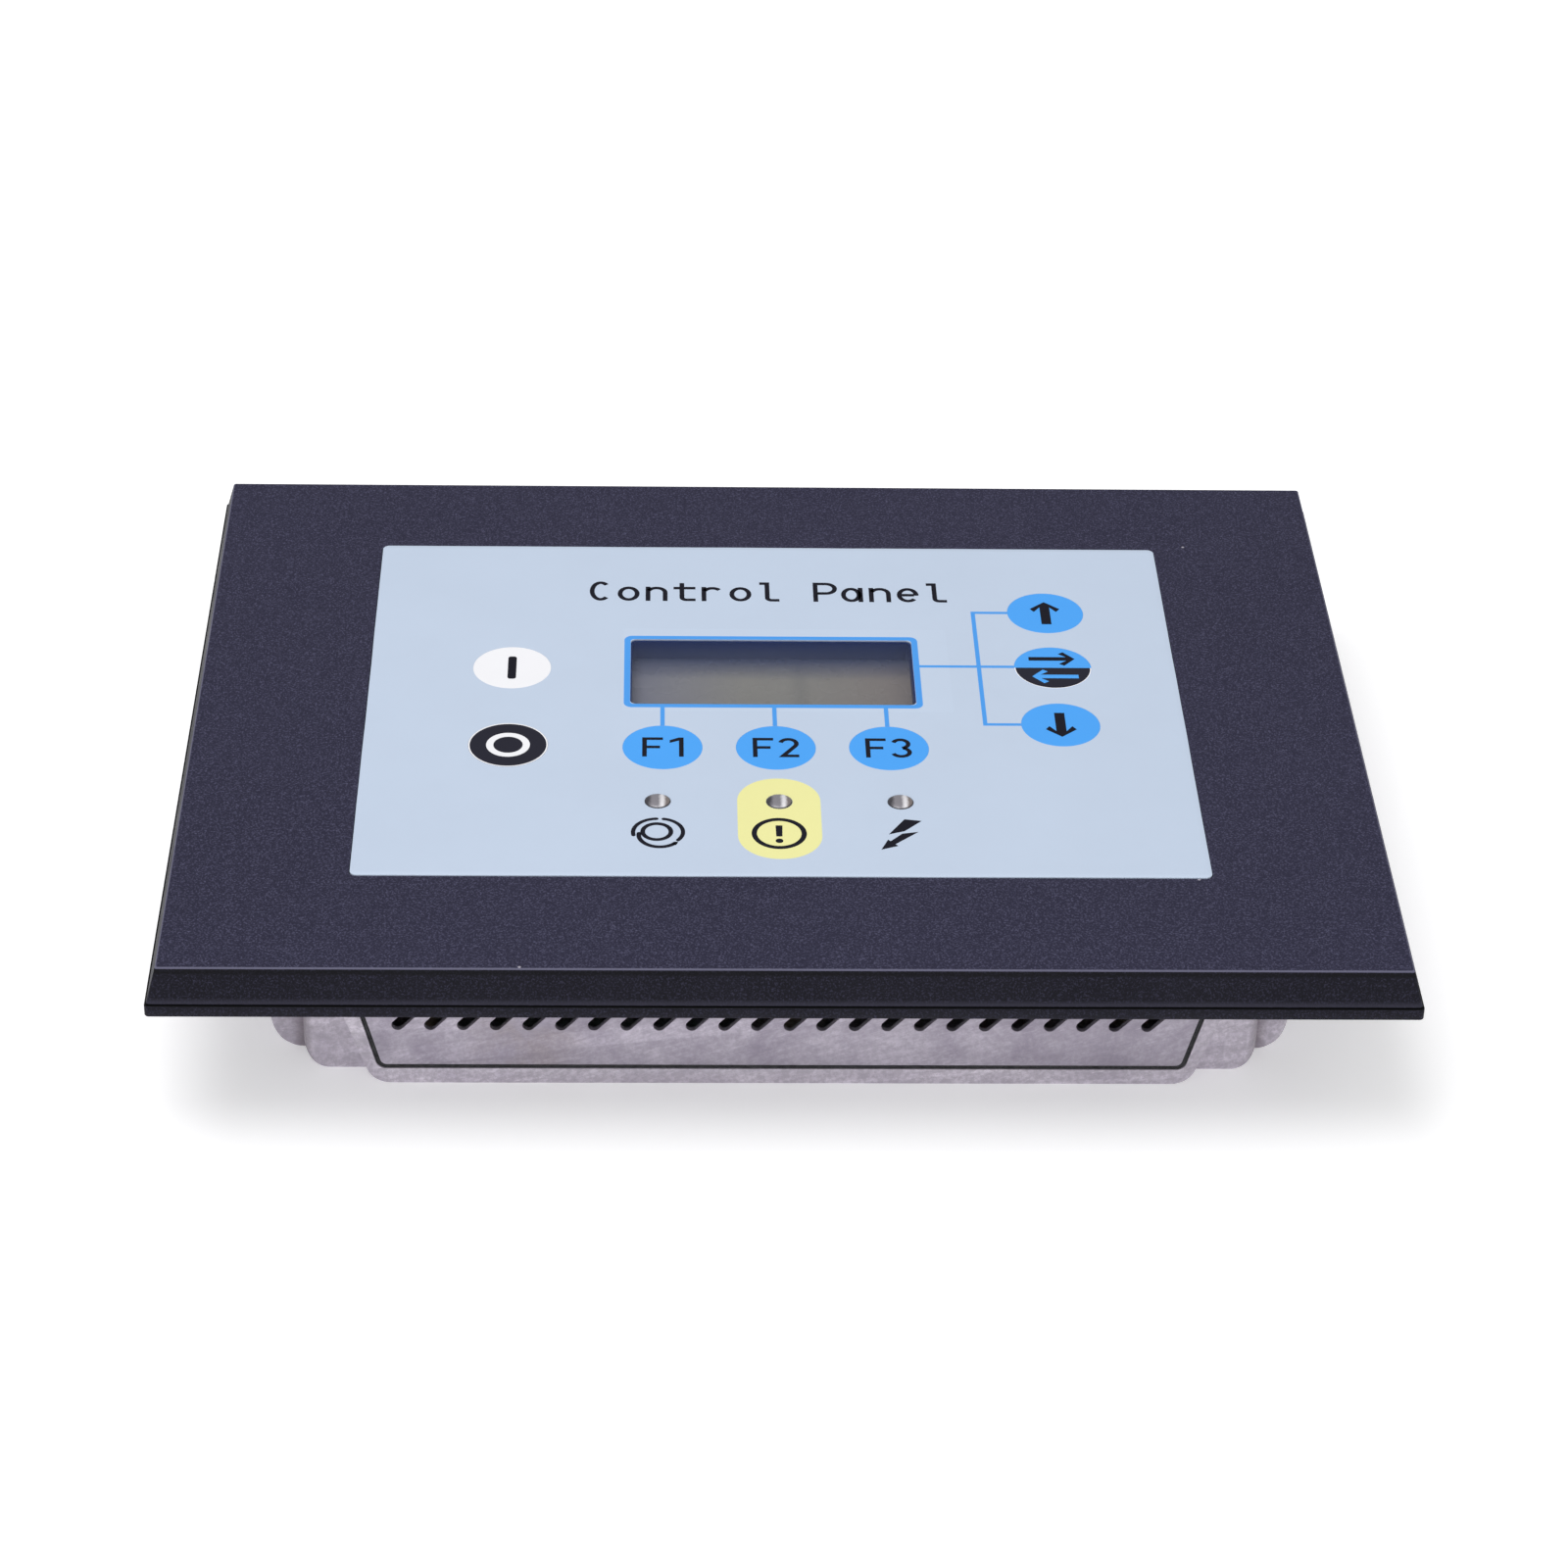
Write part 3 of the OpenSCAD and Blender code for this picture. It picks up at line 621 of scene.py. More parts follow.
def stroke(points, width, round_ends=False):
    """Outline of a line of that width along points."""
    left, right = offset_line(points, width / 2), offset_line(points, -width / 2)
    if not round_ends:
        return [right + left[::-1]]
    caps = []
    for (x, y), (px, py) in ((points[-1], points[-2]), (points[0], points[1])):
        facing = math.degrees(math.atan2(y - py, x - px))
        caps.append(arc(x, y, width / 2, facing - 90, facing + 90, 10)[1:-1])
    return [right + caps[0] + left[::-1] + caps[1]]


def ring(points, width):
    """Outline and hole of a closed line."""
    return [offset_line(points, -width / 2, True), offset_line(points, width / 2, True)]


def joined(*pieces):
    """Joins lists of vertices and faces."""
    verts, faces = [], []
    for v, f in pieces:
        faces += [tuple(i + len(verts) for i in face) for face in f]
        verts += v
    return verts, faces


def turned(profile, x=0.0, y=0.0, steps=48):
    """A solid of revolution about an upright axis: profile is (radius, height) from axis to axis."""
    verts, rows = [], []
    for r, z in profile:
        if r < 1e-6:
            rows.append([len(verts)] * steps)
            verts.append((x * MM, y * MM, z * MM))
        else:
            rows.append(list(range(len(verts), len(verts) + steps)))
            verts += [((x + r * math.cos(math.tau * k / steps)) * MM,
                       (y + r * math.sin(math.tau * k / steps)) * MM, z * MM)
                      for k in range(steps)]
    faces = []
    for low, high in zip(rows, rows[1:]):
        for k in range(steps):
            corner = [low[k], low[(k + 1) % steps], high[(k + 1) % steps], high[k]]
            face = tuple(dict.fromkeys(corner))
            if len(face) > 2:
                faces.append(face)
    return verts, faces


def loft(rings, capped=False):
    """A skin over rings of equally many points, its ends joined to each other or capped."""
    count, last = len(rings[0]), len(rings) - 1
    verts = metres(point for ring_points in rings for point in ring_points)
    faces = []
    for i in range(last if capped else last + 1):
        a, b = i * count, (i + 1) % len(rings) * count
        for k in range(count):
            n = (k + 1) % count
            faces.append((a + k, a + n, b + n, b + k))
    if capped:
        faces.append(tuple(range(count - 1, -1, -1)))
        faces.append(tuple(range(last * count, (last + 1) * count)))
    return verts, faces


def boxed(x0, x1, y0, y1, z0, z1, ease):
    """A small block with eased edges all round, in mm."""
    def level(z, inset):
        return at_level([(x0 + inset, y0 + inset), (x1 - inset, y0 + inset),
                         (x1 - inset, y1 - inset), (x0 + inset, y1 - inset)], z)
    return loft([level(z0, ease), level(z0 + ease, 0), level(z1 - ease, 0), level(z1, ease)], True)


# ---- places, taken from the CAD

def span(node):
    """Lowest and highest corner of a CAD node, in mm."""
    low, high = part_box(node)
    return low / MM, high / MM


def middle(node):
    low, high = span(node)
    return (low.x + high.x) / 2, (low.y + high.y) / 2


BEZEL_LOW, BEZEL_HIGH = span("front_bezel")
LABEL_LOW, LABEL_HIGH = span("keypad_overlay")
WINDOW_LOW, WINDOW_HIGH = span("display_window")
FACE_Z = BEZEL_HIGH.z
RIM_Z = BEZEL_LOW.z
FILM_TOP = LABEL_HIGH.z
FILM_LOW = LABEL_LOW.z
FLOOR_Z = span("keypad_circuit")[0].z
LABEL_X, LABEL_Y = middle("keypad_overlay")
LABEL_W, LABEL_D = LABEL_HIGH.x - LABEL_LOW.x, LABEL_HIGH.y - LABEL_LOW.y
WINDOW_X, WINDOW_Y = middle("display_window")
WINDOW_W, WINDOW_D = WINDOW_HIGH.x - WINDOW_LOW.x, WINDOW_HIGH.y - WINDOW_LOW.y
KEYS = {name: middle("key_" + name)
        for name in ("start", "stop", "f1", "f2", "f3", "up", "tab", "down")}
LAMPS = {name: middle("led_" + name) for name in ("auto", "alarm", "power")}
KEY_R = 10.04
KEY_HOLE_R = 10.06
LAMP_R = 3.2
PRINT_T = 0.03
EDGE_H = 3.1
WINDOW_R = 1.6
# The vent plates' outline: foot, lowest edge, lean in degrees, corner radius, knee and top
PLATE_FOOT, PLATE_LOW, PLATE_LEAN, PLATE_R = 97.1, 4.9, 14.3, 2
PLATE_KNEE, PLATE_TOP = 24, 37


# ---- bezel

def bezel(paint):
    """The moulded bezel: upright lip, sloped sides, flat face and the label's recess."""
    front_run, side_run, corner_r, wall = 3.8, 2.7, 1, 4.5
    top_r, recess_gap, label_r, support = 0.6, 0.15, 1.8, 0.4
    lip, groove = 0.45, 0.12
    width, depth = BEZEL_HIGH.x - BEZEL_LOW.x, BEZEL_HIGH.y - BEZEL_LOW.y
    crease = RIM_Z + EDGE_H
    slope_foot = crease + 0.2

    def lean(run, z):
        """How far a slope has come in at height z; it ends in a small round at the face."""
        tilt = math.atan2(FACE_Z - slope_foot, run - lip)
        drop = max(0, FACE_Z - z)
        if drop < top_r * (1 - math.cos(tilt)):
            turn = math.acos(1 - drop / top_r)
            return run + top_r * (math.tan(tilt / 2) - math.sin(turn))
        return lip + (z - slope_foot) / (FACE_Z - slope_foot) * (run - lip)

    def outline(inset_x, inset_y, z):
        r = max(0.5, corner_r - 0.2 * inset_x)
        return at_level(rounded_box(0, 0, width - 2 * inset_x, depth - 2 * inset_y, r), z)

    def edge(inset, z):
        return outline(inset, inset, z)

    def slope(z, extra=0.0):
        return outline(lean(side_run, z) + extra, lean(front_run, z) + extra, z)

    rings = [at_level(rounded_box(0, 0, width - 2 * wall, depth - 2 * wall, 2), RIM_Z),
             edge(0.3, RIM_Z), edge(0.09, RIM_Z + 0.09), edge(0, RIM_Z + 0.3),
             edge(0, crease - 0.25), edge(0.05, crease - 0.08), edge(0.16, crease),
             edge(lip - 0.08, crease - 0.02), edge(lip + groove, crease - 0.1),
             edge(lip + groove, crease + 0.02), slope(slope_foot), slope(slope_foot + 0.4),
             slope(FACE_Z - top_r - 0.3)]
    for step in range(7):
        rings.append(slope(FACE_Z - top_r * (1 - math.cos(math.radians(72 * (1 - step / 6))))))
    rings.append(slope(FACE_Z, support))
    hole_w, hole_d = LABEL_W + 2 * recess_gap, LABEL_D + 2 * recess_gap

    def recess(grow, z):
        return at_level(rounded_box(LABEL_X, LABEL_Y, hole_w + 2 * grow, hole_d + 2 * grow,
                                    label_r + grow), z)

    under = FACE_Z - 4
    rings += [recess(0.12 + support, FACE_Z), recess(0.12, FACE_Z), recess(0.03, FACE_Z - 0.03),
              recess(0, FACE_Z - 0.12), recess(0, FLOOR_Z), recess(0, under),
              at_level(rounded_box(0, 0, width - 2 * wall, depth - 2 * wall, 2), under)]
    frame_part = loft(rings)
    tail_x, tail_y = middle("keypad_tail")
    floor_part = prism([rounded_box(LABEL_X, LABEL_Y, hole_w, hole_d, label_r),
                        rounded_box(WINDOW_X, WINDOW_Y, WINDOW_W + 1.7, WINDOW_D + 1.7, 1.6),
                        rounded_box(tail_x, tail_y, 22, 2.4, 0.3)]
                       + [disc(x, y, LAMP_R + 0.3, 32) for x, y in LAMPS.values()],
                       under, FLOOR_Z)
    add("bezel_moulding", joined(frame_part, floor_part, *bezel_posts(under)), paint,
        "front_bezel", smooth_under=30)


def bezel_posts(under):
    """Screw posts on the bezel's underside."""
    foot = span("rear_housing")[1].z
    posts = [turned([(0, foot), (3.7, foot), (4, foot + 0.3), (4, under), (0, under)], x, y, 32)
             for x, y in FRAME_SCREWS]
    lcd_x, lcd_y, led_x = 46.5, 27.5, 41
    places = [("lcd_board", WINDOW_X + x, WINDOW_Y + y)
              for x in (-lcd_x, lcd_x) for y in (-lcd_y, lcd_y)]
    places += [("led_board", LAMPS["alarm"][0] + x, LAMPS["alarm"][1]) for x in (-led_x, led_x)]
    for board, x, y in places:
        foot = span(board)[1].z
        posts.append(turned([(0, foot), (2.8, foot), (3, foot + 0.2), (3, under), (0, under)],
                            x, y, 24))
    return posts


FRAME_SCREWS = [(x, y) for x in (-129, 129) for y in (-60, 60)]
FRAME_SCREWS += [(x, y) for x in (-60, 60) for y in (-100.5, 100.5)]


# ---- label film and its prints

def wavy(points, amount):
    """Long sides cut into short steps that wander a little, as a hand-trimmed film does."""
    made = []
    count = len(points)
    for i, (x, y) in enumerate(points):
        nx, ny = points[(i + 1) % count]
        length = math.hypot(nx - x, ny - y)
        steps = max(1, int(length / 3))
        for k in range(steps):
            t = k / steps
            px, py = x + (nx - x) * t, y + (ny - y) * t
            fade = math.sin(math.pi * t) if steps > 1 else 0
            swing = math.sin(px * 0.11 + py * 0.07) + 0.5 * math.sin(px * 0.31 - py * 0.23 + 1)
            push = amount * fade * swing
            made.append((px - push * (ny - y) / length, py + push * (nx - x) / length))
    return made


def label_film(paint):
    """The printed film: a border strip with a rounded edge, and the field with its openings."""
    border, ease = 1.6, 0.07
    base = wavy(rounded_box(LABEL_X, LABEL_Y, LABEL_W - 0.1, LABEL_D - 0.1, 1.8), 0.04)
    inner = offset_line(base, border, True)
    rings = [at_level(base, FILM_LOW), at_level(base, FILM_TOP - ease),
             at_level(offset_line(base, ease * 0.3, True), FILM_TOP - ease * 0.3),
             at_level(offset_line(base, ease, True), FILM_TOP),
             at_level(inner, FILM_TOP), at_level(inner, FILM_LOW)]
    field = prism([inner, rounded_box(WINDOW_X, WINDOW_Y, WINDOW_W + 0.1, WINDOW_D + 0.1, 1.6)]
                  + [disc(x, y, KEY_HOLE_R) for x, y in KEYS.values()]
                  + [disc(x, y, LAMP_R + 0.06, 48) for x, y in LAMPS.values()],
                  FILM_LOW, FILM_TOP)
    add("label_film", joined(loft(rings), field), paint, "keypad_overlay")


def label_print(name, shapes, paint, body="panel", lift=PRINT_T):
    """One thin raised print made of several flat shapes, each a list of loops in mm."""
    solids = [prism(loops, FILM_TOP - 0.05, FILM_TOP + lift) for loops in shapes]
    add(name, joined(*solids), paint, body=body)


LINE_W = 1.1


def bar_shape(x0, y0, x1, y1):
    return [[(x0, y0), (x1, y0), (x1, y1), (x0, y1)]]


def label_lines(paint):
    """Frame round the window, and the lines that lead from it to the keys."""
    frame_w, frame_r = 1.6, 2.1
    frame_x0, frame_x1 = WINDOW_X - WINDOW_W / 2 - 1.7, WINDOW_X + WINDOW_W / 2 + 1.7
    frame_y0, frame_y1 = WINDOW_Y - WINDOW_D / 2 - 1.7, WINDOW_Y + WINDOW_D / 2 + 1.7
    mid_x, mid_y = (frame_x0 + frame_x1) / 2, (frame_y0 + frame_y1) / 2
    outer_w, outer_d = frame_x1 - frame_x0, frame_y1 - frame_y0
    shapes = [[rounded_box(mid_x, mid_y, outer_w, outer_d, frame_r),
               rounded_box(mid_x, mid_y, outer_w - 2 * frame_w, outer_d - 2 * frame_w,
                           frame_r - frame_w + 0.6)]]
    half = LINE_W / 2
    for name in ("f1", "f2", "f3"):
        x, y = KEYS[name]
        shapes.append(bar_shape(x - half, y + KEY_HOLE_R + 0.02, x + half, frame_y0))
    trunk_x, tab_y = 52.8, 19.9
    up_y, down_y = KEYS["up"][1], KEYS["down"][1]
    key_edge = KEYS["up"][0] - KEY_HOLE_R - 0.02
    shapes.append(bar_shape(trunk_x - half, down_y - half, trunk_x + half, up_y + half))
    shapes.append(bar_shape(frame_x1, tab_y - half, trunk_x - half, tab_y + half))
    for y in (up_y, tab_y, down_y):
        shapes.append(bar_shape(trunk_x + half, y - half, key_edge, y + half))
    label_print("label_lines", shapes, paint)


def window_patch(paint):
    """A faintly lighter patch in the ink round the window."""
    patch = rounded_box(WINDOW_X + 3.6, WINDOW_Y + 0.9, WINDOW_W + 11.5, WINDOW_D + 9, 0.6)
    frame_hole = rounded_box(WINDOW_X, WINDOW_Y, WINDOW_W + 3.3, WINDOW_D + 3.3, 2.4)
    label_print("label_patch", [[patch, frame_hole]], paint, lift=0.012)


def letter(sign, w, h, t):
    """One sign of a plain single-line alphabet: shapes in a box w wide and h high, line t wide."""
    e = t / 2
    small = 0.74 * h
    mid = 0.5 * h
    bowl = (h - mid) / 2
    arch = (w - t) / 2
    if sign == "C":
        return [stroke(ellipse(w / 2, h / 2, w / 2 - e, h / 2 - e, 48, 312), t)]
    if sign == "P":
        return [stroke([(e, 0), (e, h - e), (w - bowl, h - e)]
                       + arc(w - bowl, h - e - bowl, bowl, 90, -90, 14)[1:]
                       + [(t, h - e - 2 * bowl)], t)]
    if sign == "o":
        return [ring(ellipse(w / 2, small / 2, w / 2 - e, small / 2 - e, 0, 360)[:-1], t)]
    if sign == "n":
        return [stroke([(e, 0), (e, small)], t),
                stroke(arc(w / 2, small - arch - e, arch, 158, 0, 14) + [(w - e, 0)], t)]
    if sign == "r":
        return [stroke([(e, 0), (e, small)], t),
                stroke(arc(w / 2, small - arch - e, arch, 158, 38, 12), t)]
    if sign == "t":
        stem = 0.38 * w
        return [stroke([(stem, 0.94 * h), (stem, e + 1.2)]
                       + arc(stem + 1.2, e + 1.2, 1.2, 180, 270, 8)[1:] + [(w, e)], t),
                stroke([(0, small - e), (stem - e, small - e)], t),
                stroke([(stem + e, small - e), (w, small - e)], t)]
    if sign == "l":
        stem = 0.45 * w
        return [stroke([(0.1 * w, h - e), (stem, h - e), (stem, e + 1.2)]
                       + arc(stem + 1.2, e + 1.2, 1.2, 180, 270, 8)[1:] + [(w, e)], t)]
    if sign == "a":
        return [ring(ellipse(w / 2 - 0.2, small / 2, w / 2 - e - 0.2, small / 2 - e, 0, 360)[:-1], t),
                stroke([(w - e, 0), (w - e, small)], t)]
    if sign == "e":
        return [stroke([(t, small / 2), (w - t, small / 2)], t),
                stroke(ellipse(w / 2, small / 2, w / 2 - e, small / 2 - e, -4, 318), t)]
    if sign == "F":
        return [stroke([(w, h - e), (e, h - e), (e, 0)], t),
                stroke([(t, 0.5 * h), (0.86 * w, 0.5 * h)], t)]
    if sign == "1":
        stem = 0.66 * w
        flag = [(stem - e, h), (stem - e, h - 1.2 * t), (0.1 * w, 0.72 * h), (0.1 * w, 0.86 * h)]
        return [stroke([(stem, h), (stem, 0)], t), [flag]]
    if sign == "2":
        r = w / 2 - e
        return [stroke(arc(w / 2, h - e - r, r, 165, -38, 16) + [(t, e), (w, e)], t)]
    if sign == "3":
        r = (h - t) / 4
        top = ellipse(w / 2 - 0.1, h - e - r, w / 2 - e - 0.1, r, 160, -80, 18)
        bottom = ellipse(w / 2 - 0.1, e + r, w / 2 - e + 0.1, r, 74, -160, 18)
        return [stroke(top, t), stroke(bottom, t)]
    return []


def moved(shapes, x, y):
    return [[[(px + x, py + y) for px, py in loop] for loop in loops] for loops in shapes]


def words(text, x, y, w, h, t, pitch):
    shapes = []
    for i, sign in enumerate(text):
        shapes += moved(letter(sign, w, h, t), x + i * pitch, y)
    return shapes


def warning_mark(x, y):
    """An exclamation mark in a circle."""
    bar = [(x - 0.85, y + 3.5), (x - 0.75, y - 1.3), (x + 0.75, y - 1.3), (x + 0.85, y + 3.5)]
    return [ring(disc(x, y, 6.1), 1.3), [bar], [disc(x, y - 3.2, 0.95, 24)]]


def automatic_mark(x, y):
    """Two turning arms round a ring."""
    right_arm = arc(x + 0.5, y + 0.5, 5.7, 80, -38, 22)
    left_arm = arc(x - 0.1, y + 0.3, 5.9, 192, 92, 20)
    low_arm = arc(x + 0.5, y - 0.9, 5.1, 172, 318, 24)
    barb = [(x + 3.4, y - 4.9), (x + 5.1, y - 3.5), (x + 4.5, y - 5.2)]
    return [ring(disc(x - 0.2, y + 0.6, 3.45), 1.15), stroke(right_arm, 1.05, True),
            stroke(left_arm, 1.05, True), stroke(low_arm, 1.15, True), [barb]]


def power_mark(x, y):
    """A two-part flash whose lower end is an arrow."""
    upper = [(x + 1.2, y + 6.4), (x + 5.4, y + 5.7), (x + 1.0, y + 1.2), (x - 2.9, y - 0.2)]
    lower = [(x + 0.4, y + 0.1), (x + 4.4, y + 0.9), (x - 1.4, y - 4.4), (x - 2.7, y - 3.3)]
    tip = [(x - 5.0, y - 6.8), (x - 0.8, y - 5.2), (x - 3.2, y - 2.5)]
    return [[upper], [lower], [tip]]


def arrow(x, y, length, shaft, head, line, turn):
    """An open-headed arrow that points along +Y before it turns."""
    top = length / 2
    reach = head / 2
    corner = line * 0.75
    shape = [(-shaft / 2, -top), (shaft / 2, -top), (shaft / 2, top - reach * 0.75),
             (reach - corner * 0.4, top - reach - corner), (reach + corner * 0.3, top - reach),
             (0, top), (-reach - corner * 0.3, top - reach),
             (-reach + corner * 0.4, top - reach - corner), (-shaft / 2, top - reach * 0.75)]
    c, s = math.cos(math.radians(turn)), math.sin(math.radians(turn))
    return [[(x + px * c - py * s, y + px * s + py * c) for px, py in shape]]


def key_disc(name, paint):
    """The part of the film over one switch, with the nub that meets its snap dome."""
    x, y = KEYS[name]
    nub_low = span("key_" + name)[0].z
    profile = [(0, nub_low), (1.8, nub_low), (2, nub_low + 0.05), (2, FILM_LOW), (KEY_R, FILM_LOW),
               (KEY_R, FILM_TOP - 0.03), (KEY_R - 0.03, FILM_TOP), (0, FILM_TOP)]
    add("disc_" + name, turned(profile, x, y, 96), paint, "key_" + name, name + "_key")


def snap_domes(paint):
    """Sprung steel domes with a turned-down rim, each with a mesh of its own."""
    thick, steps = 0.14, 12
    for name in KEYS:
        low, high = span("dome_" + name)
        x, y = middle("dome_" + name)
        r = (high.x - low.x) / 2
        rise = high.z - low.z - thick
        top = [(r * k / steps, high.z - rise * (k / steps) ** 2) for k in range(steps + 1)]
        under = [(max(0, q - 0.05), max(low.z, z - thick)) for q, z in top]
        piece = add("snap_dome_" + name, turned(under + top[::-1], x, y), paint,
                    "dome_" + name)
        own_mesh(piece)


def key_symbols(paints):
    """What is printed on each key; it rides with the key."""
    x, y = KEYS["start"]
    label_print("symbol_start", [[rounded_box(x, y, 2.2, 10.8, 0.8)]], paints["print_dark"], "start_key")
    x, y = KEYS["stop"]
    label_print("symbol_stop", [[disc(x, y, 5.5, 64), disc(x, y, 3.7, 48)],
                                [disc(x, y, KEY_R - 0.04), disc(x, y, KEY_R - 0.4)]],
                paints["key_white"], "stop_key")
    for name, number, left in (("f1", "1", 5.1), ("f2", "2", 5.8), ("f3", "3", 5.9)):
        x, y = KEYS[name]
        shapes = words("F" + number, x - left, y - 4.3, 5.2, 8.8, 1.15, 6.4)
        label_print("symbol_" + name, shapes, paints["print_dark"], name + "_key")
    for name, turn in (("up", 0), ("down", 180)):
        x, y = KEYS[name]
        label_print("symbol_" + name, [arrow(x, y, 11.2, 2.6, 7.0, 1.9, turn)], paints["print_dark"],
                    name + "_key")
    x, y = KEYS["tab"]
    lower_half = arc(x, y, KEY_R - 0.35, 180, 360, 48)
    rim = [arc(x, y, KEY_R - 0.04, 180, 360, 48) + arc(x, y, KEY_R - 0.35, 360, 180, 48)]
    label_print("field_tab", [[lower_half]], paints["key_black"], "tab_key", 0.015)
    label_print("rim_tab", [rim], paints["key_white"], "tab_key", 0.015)
    label_print("symbol_tab_right", [arrow(x, y + 4.4, 12, 1.7, 5.8, 1.7, -90)], paints["print_dark"],
                "tab_key")
    label_print("symbol_tab_left", [arrow(x + 0.4, y - 4.2, 12, 1.7, 5.8, 1.7, 90)],
                paints["key_blue"], "tab_key")


def keypad(paints):
    label_film(paints["label_film"])
    window_patch(paints["label_patch"])
    label_lines(paints["print_blue"])
    pill_x, pill_y, mark_y = LAMPS["alarm"][0], -50.85, -57.5
    title_x, title_y = -48.5, 52.0
    letter_w, letter_h, line_w, pitch = 5.8, 9.8, 1.25, 7.42
    lamp_hole = disc(*LAMPS["alarm"], LAMP_R + 0.1, 48)
    label_print("label_warning_field", [[rounded_box(pill_x - 0.1, pill_y, 20.6, 35.3, 10), lamp_hole]],
                paints["print_yellow"], lift=0.015)
    marks = words("Control Panel", title_x, title_y, letter_w, letter_h, line_w, pitch)
    marks += automatic_mark(LAMPS["auto"][0], mark_y)
    marks += warning_mark(pill_x - 0.3, mark_y)
    marks += power_mark(LAMPS["power"][0] - 0.6, mark_y)
    label_print("label_marks", marks, paints["print_dark"])
    key_disc("start", paints["key_white"])
    key_disc("stop", paints["key_black"])
    for name in ("f1", "f2", "f3", "up", "tab", "down"):
        key_disc(name, paints["key_blue"])
    key_symbols(paints)


def window_loop(inset, z):
    """The window's outline drawn in by inset."""
    return at_level(rounded_box(WINDOW_X, WINDOW_Y, WINDOW_W - 2 * inset, WINDOW_D - 2 * inset,
                                WINDOW_R - inset), z)


def window_pane(paint):
    """Clear film in the window, with a rolled edge."""
    low, high, ease = WINDOW_LOW.z, WINDOW_HIGH.z, 0.05
    shape = loft([window_loop(ease, low), window_loop(0, low + ease), window_loop(0, high - ease),
                  window_loop(ease, high)], True)
    add("window_pane", shape, paint, "display_window")


def window_lining(paint):
    """A blue-black wall between the window's film and the display."""
    foot = span("lcd_glass")[1].z
    shape = loft([window_loop(0.3, foot), window_loop(0.3, FILM_LOW - 0.08),
                  window_loop(0.24, FILM_LOW - 0.02), window_loop(-0.1, FILM_LOW - 0.02),
                  window_loop(-0.1, foot)])
    add("window_lining", shape, paint)


def plate_outline(grow):
    """The vent plate's outline in X and Z: upright above the knee, leaning in to round feet."""
    lean = math.radians(PLATE_LEAN)
    foot, low, r = PLATE_FOOT + grow, PLATE_LOW - grow, PLATE_R + grow
    knee = foot + (PLATE_KNEE - low) * math.tan(lean)
    reach = r / math.tan(math.radians(90 + PLATE_LEAN) / 2)
    right = arc(foot - reach, low + r, r, -90, -PLATE_LEAN, 8)
    right += [(knee, PLATE_KNEE), (knee, PLATE_TOP + grow)]
    return [(-x, z) for x, z in reversed(right)] + right


def plate_seals_and_seam_shade(paint):
    """Black seals in the seams round the two vent plates, which also stand in for the painted shade of
    the seams.
    """
    face_y = span("vent_plate_front")[0].y
    parts = []
    for side in (1, -1):
        rings = [[(side * x, side * y, z) for x, z in plate_outline(grow)]
                 for grow, y in ((0.57, face_y - 0.05), (-0.3, face_y - 0.05),
                                 (-0.35, face_y + 0.02), (0.04, face_y + 0.1),
                                 (0.04, face_y + 1.3), (0.57, face_y + 1.3))]
        parts.append(loft(rings))
    add("plate_seals_and_seam_shade", joined(*parts), paint)


def lamps(paint):
    """Three lamps: flange on the board, stem through the bezel, low domed lens."""
    low, high = (corner.z for corner in span("led_auto"))
    dome_foot = FILM_TOP - 0.02
    rise = high - dome_foot
    for name, (x, y) in LAMPS.items():
        profile = [(0, 0), (LAMP_R + 0.1, 0), (LAMP_R + 0.2, 0.1), (LAMP_R + 0.2, 0.9),
                   (LAMP_R + 0.1, 1), (LAMP_R, 1.05)]
        for k in range(13):
            turn = math.radians(90 * k / 12)
            profile.append((LAMP_R * math.cos(turn) if k < 12 else 0,
                            dome_foot - low + rise * math.sin(turn)))
        verts, faces = turned(profile, 0, 0, 64)
        piece = new_piece("lamp_" + name, verts, faces, paint)
        piece.location = (x * MM, y * MM, low * MM)
        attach(piece, "panel")
        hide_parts("led_" + name)


# ---- screws and studs

def cross_outline(x, y, size, arm):
    """A cross recess seen from the head."""
    a, s = arm / 2, size / 2
    return [(x + a, y + s), (x - a, y + s), (x - a, y + a), (x - s, y + a), (x - s, y - a),
            (x - a, y - a), (x - a, y - s), (x + a, y - s), (x + a, y - a), (x + s, y - a),
            (x + s, y + a), (x + a, y + a)]


def cross_screw(x, y, profile, size, depth, steps=32):
    """A screw whose head faces down: profile runs from the face's edge to the axis at its far end."""
    face_z = profile[0][1]
    cross = cross_outline(x, y, size, size * 0.3)
    circle = disc(x, y, profile[0][0], steps)
    verts = metres(at_level(circle + cross, face_z))
    faces = fill([circle, cross], up=False)
    floor, count = len(verts), len(cross)
    verts += metres(at_level(cross, face_z + depth))
    for k in range(count):
        n = (k + 1) % count
        faces.append((steps + k, steps + n, floor + n, floor + k))
    faces += [tuple(floor + i for i in face) for face in fill([cross], up=False)]
    row = list(range(steps))
    for r, z in profile[1:]:
        start = len(verts)
        if r < 1e-6:
            verts += metres([(x, y, z)])
            faces += [(row[k], row[(k + 1) % steps], start) for k in range(steps)]
            break
        ahead = list(range(start, start + steps))
        verts += metres(at_level(disc(x, y, r, steps), z))
        faces += [(row[k], row[(k + 1) % steps], ahead[(k + 1) % steps], ahead[k])
                  for k in range(steps)]
        row = ahead
    return verts, faces


def thread_rows(r, z0, z1, pitch=0.5, depth=0.2):
    """Radii up a shank whose coarse rings stand for a thread."""
    rows, z = [], z0
    while z + pitch <= z1:
        rows += [(r - depth, z), (r, z + pitch * 0.38), (r, z + pitch * 0.5),
                 (r - depth, z + pitch * 0.88)]
        z += pitch
    return rows


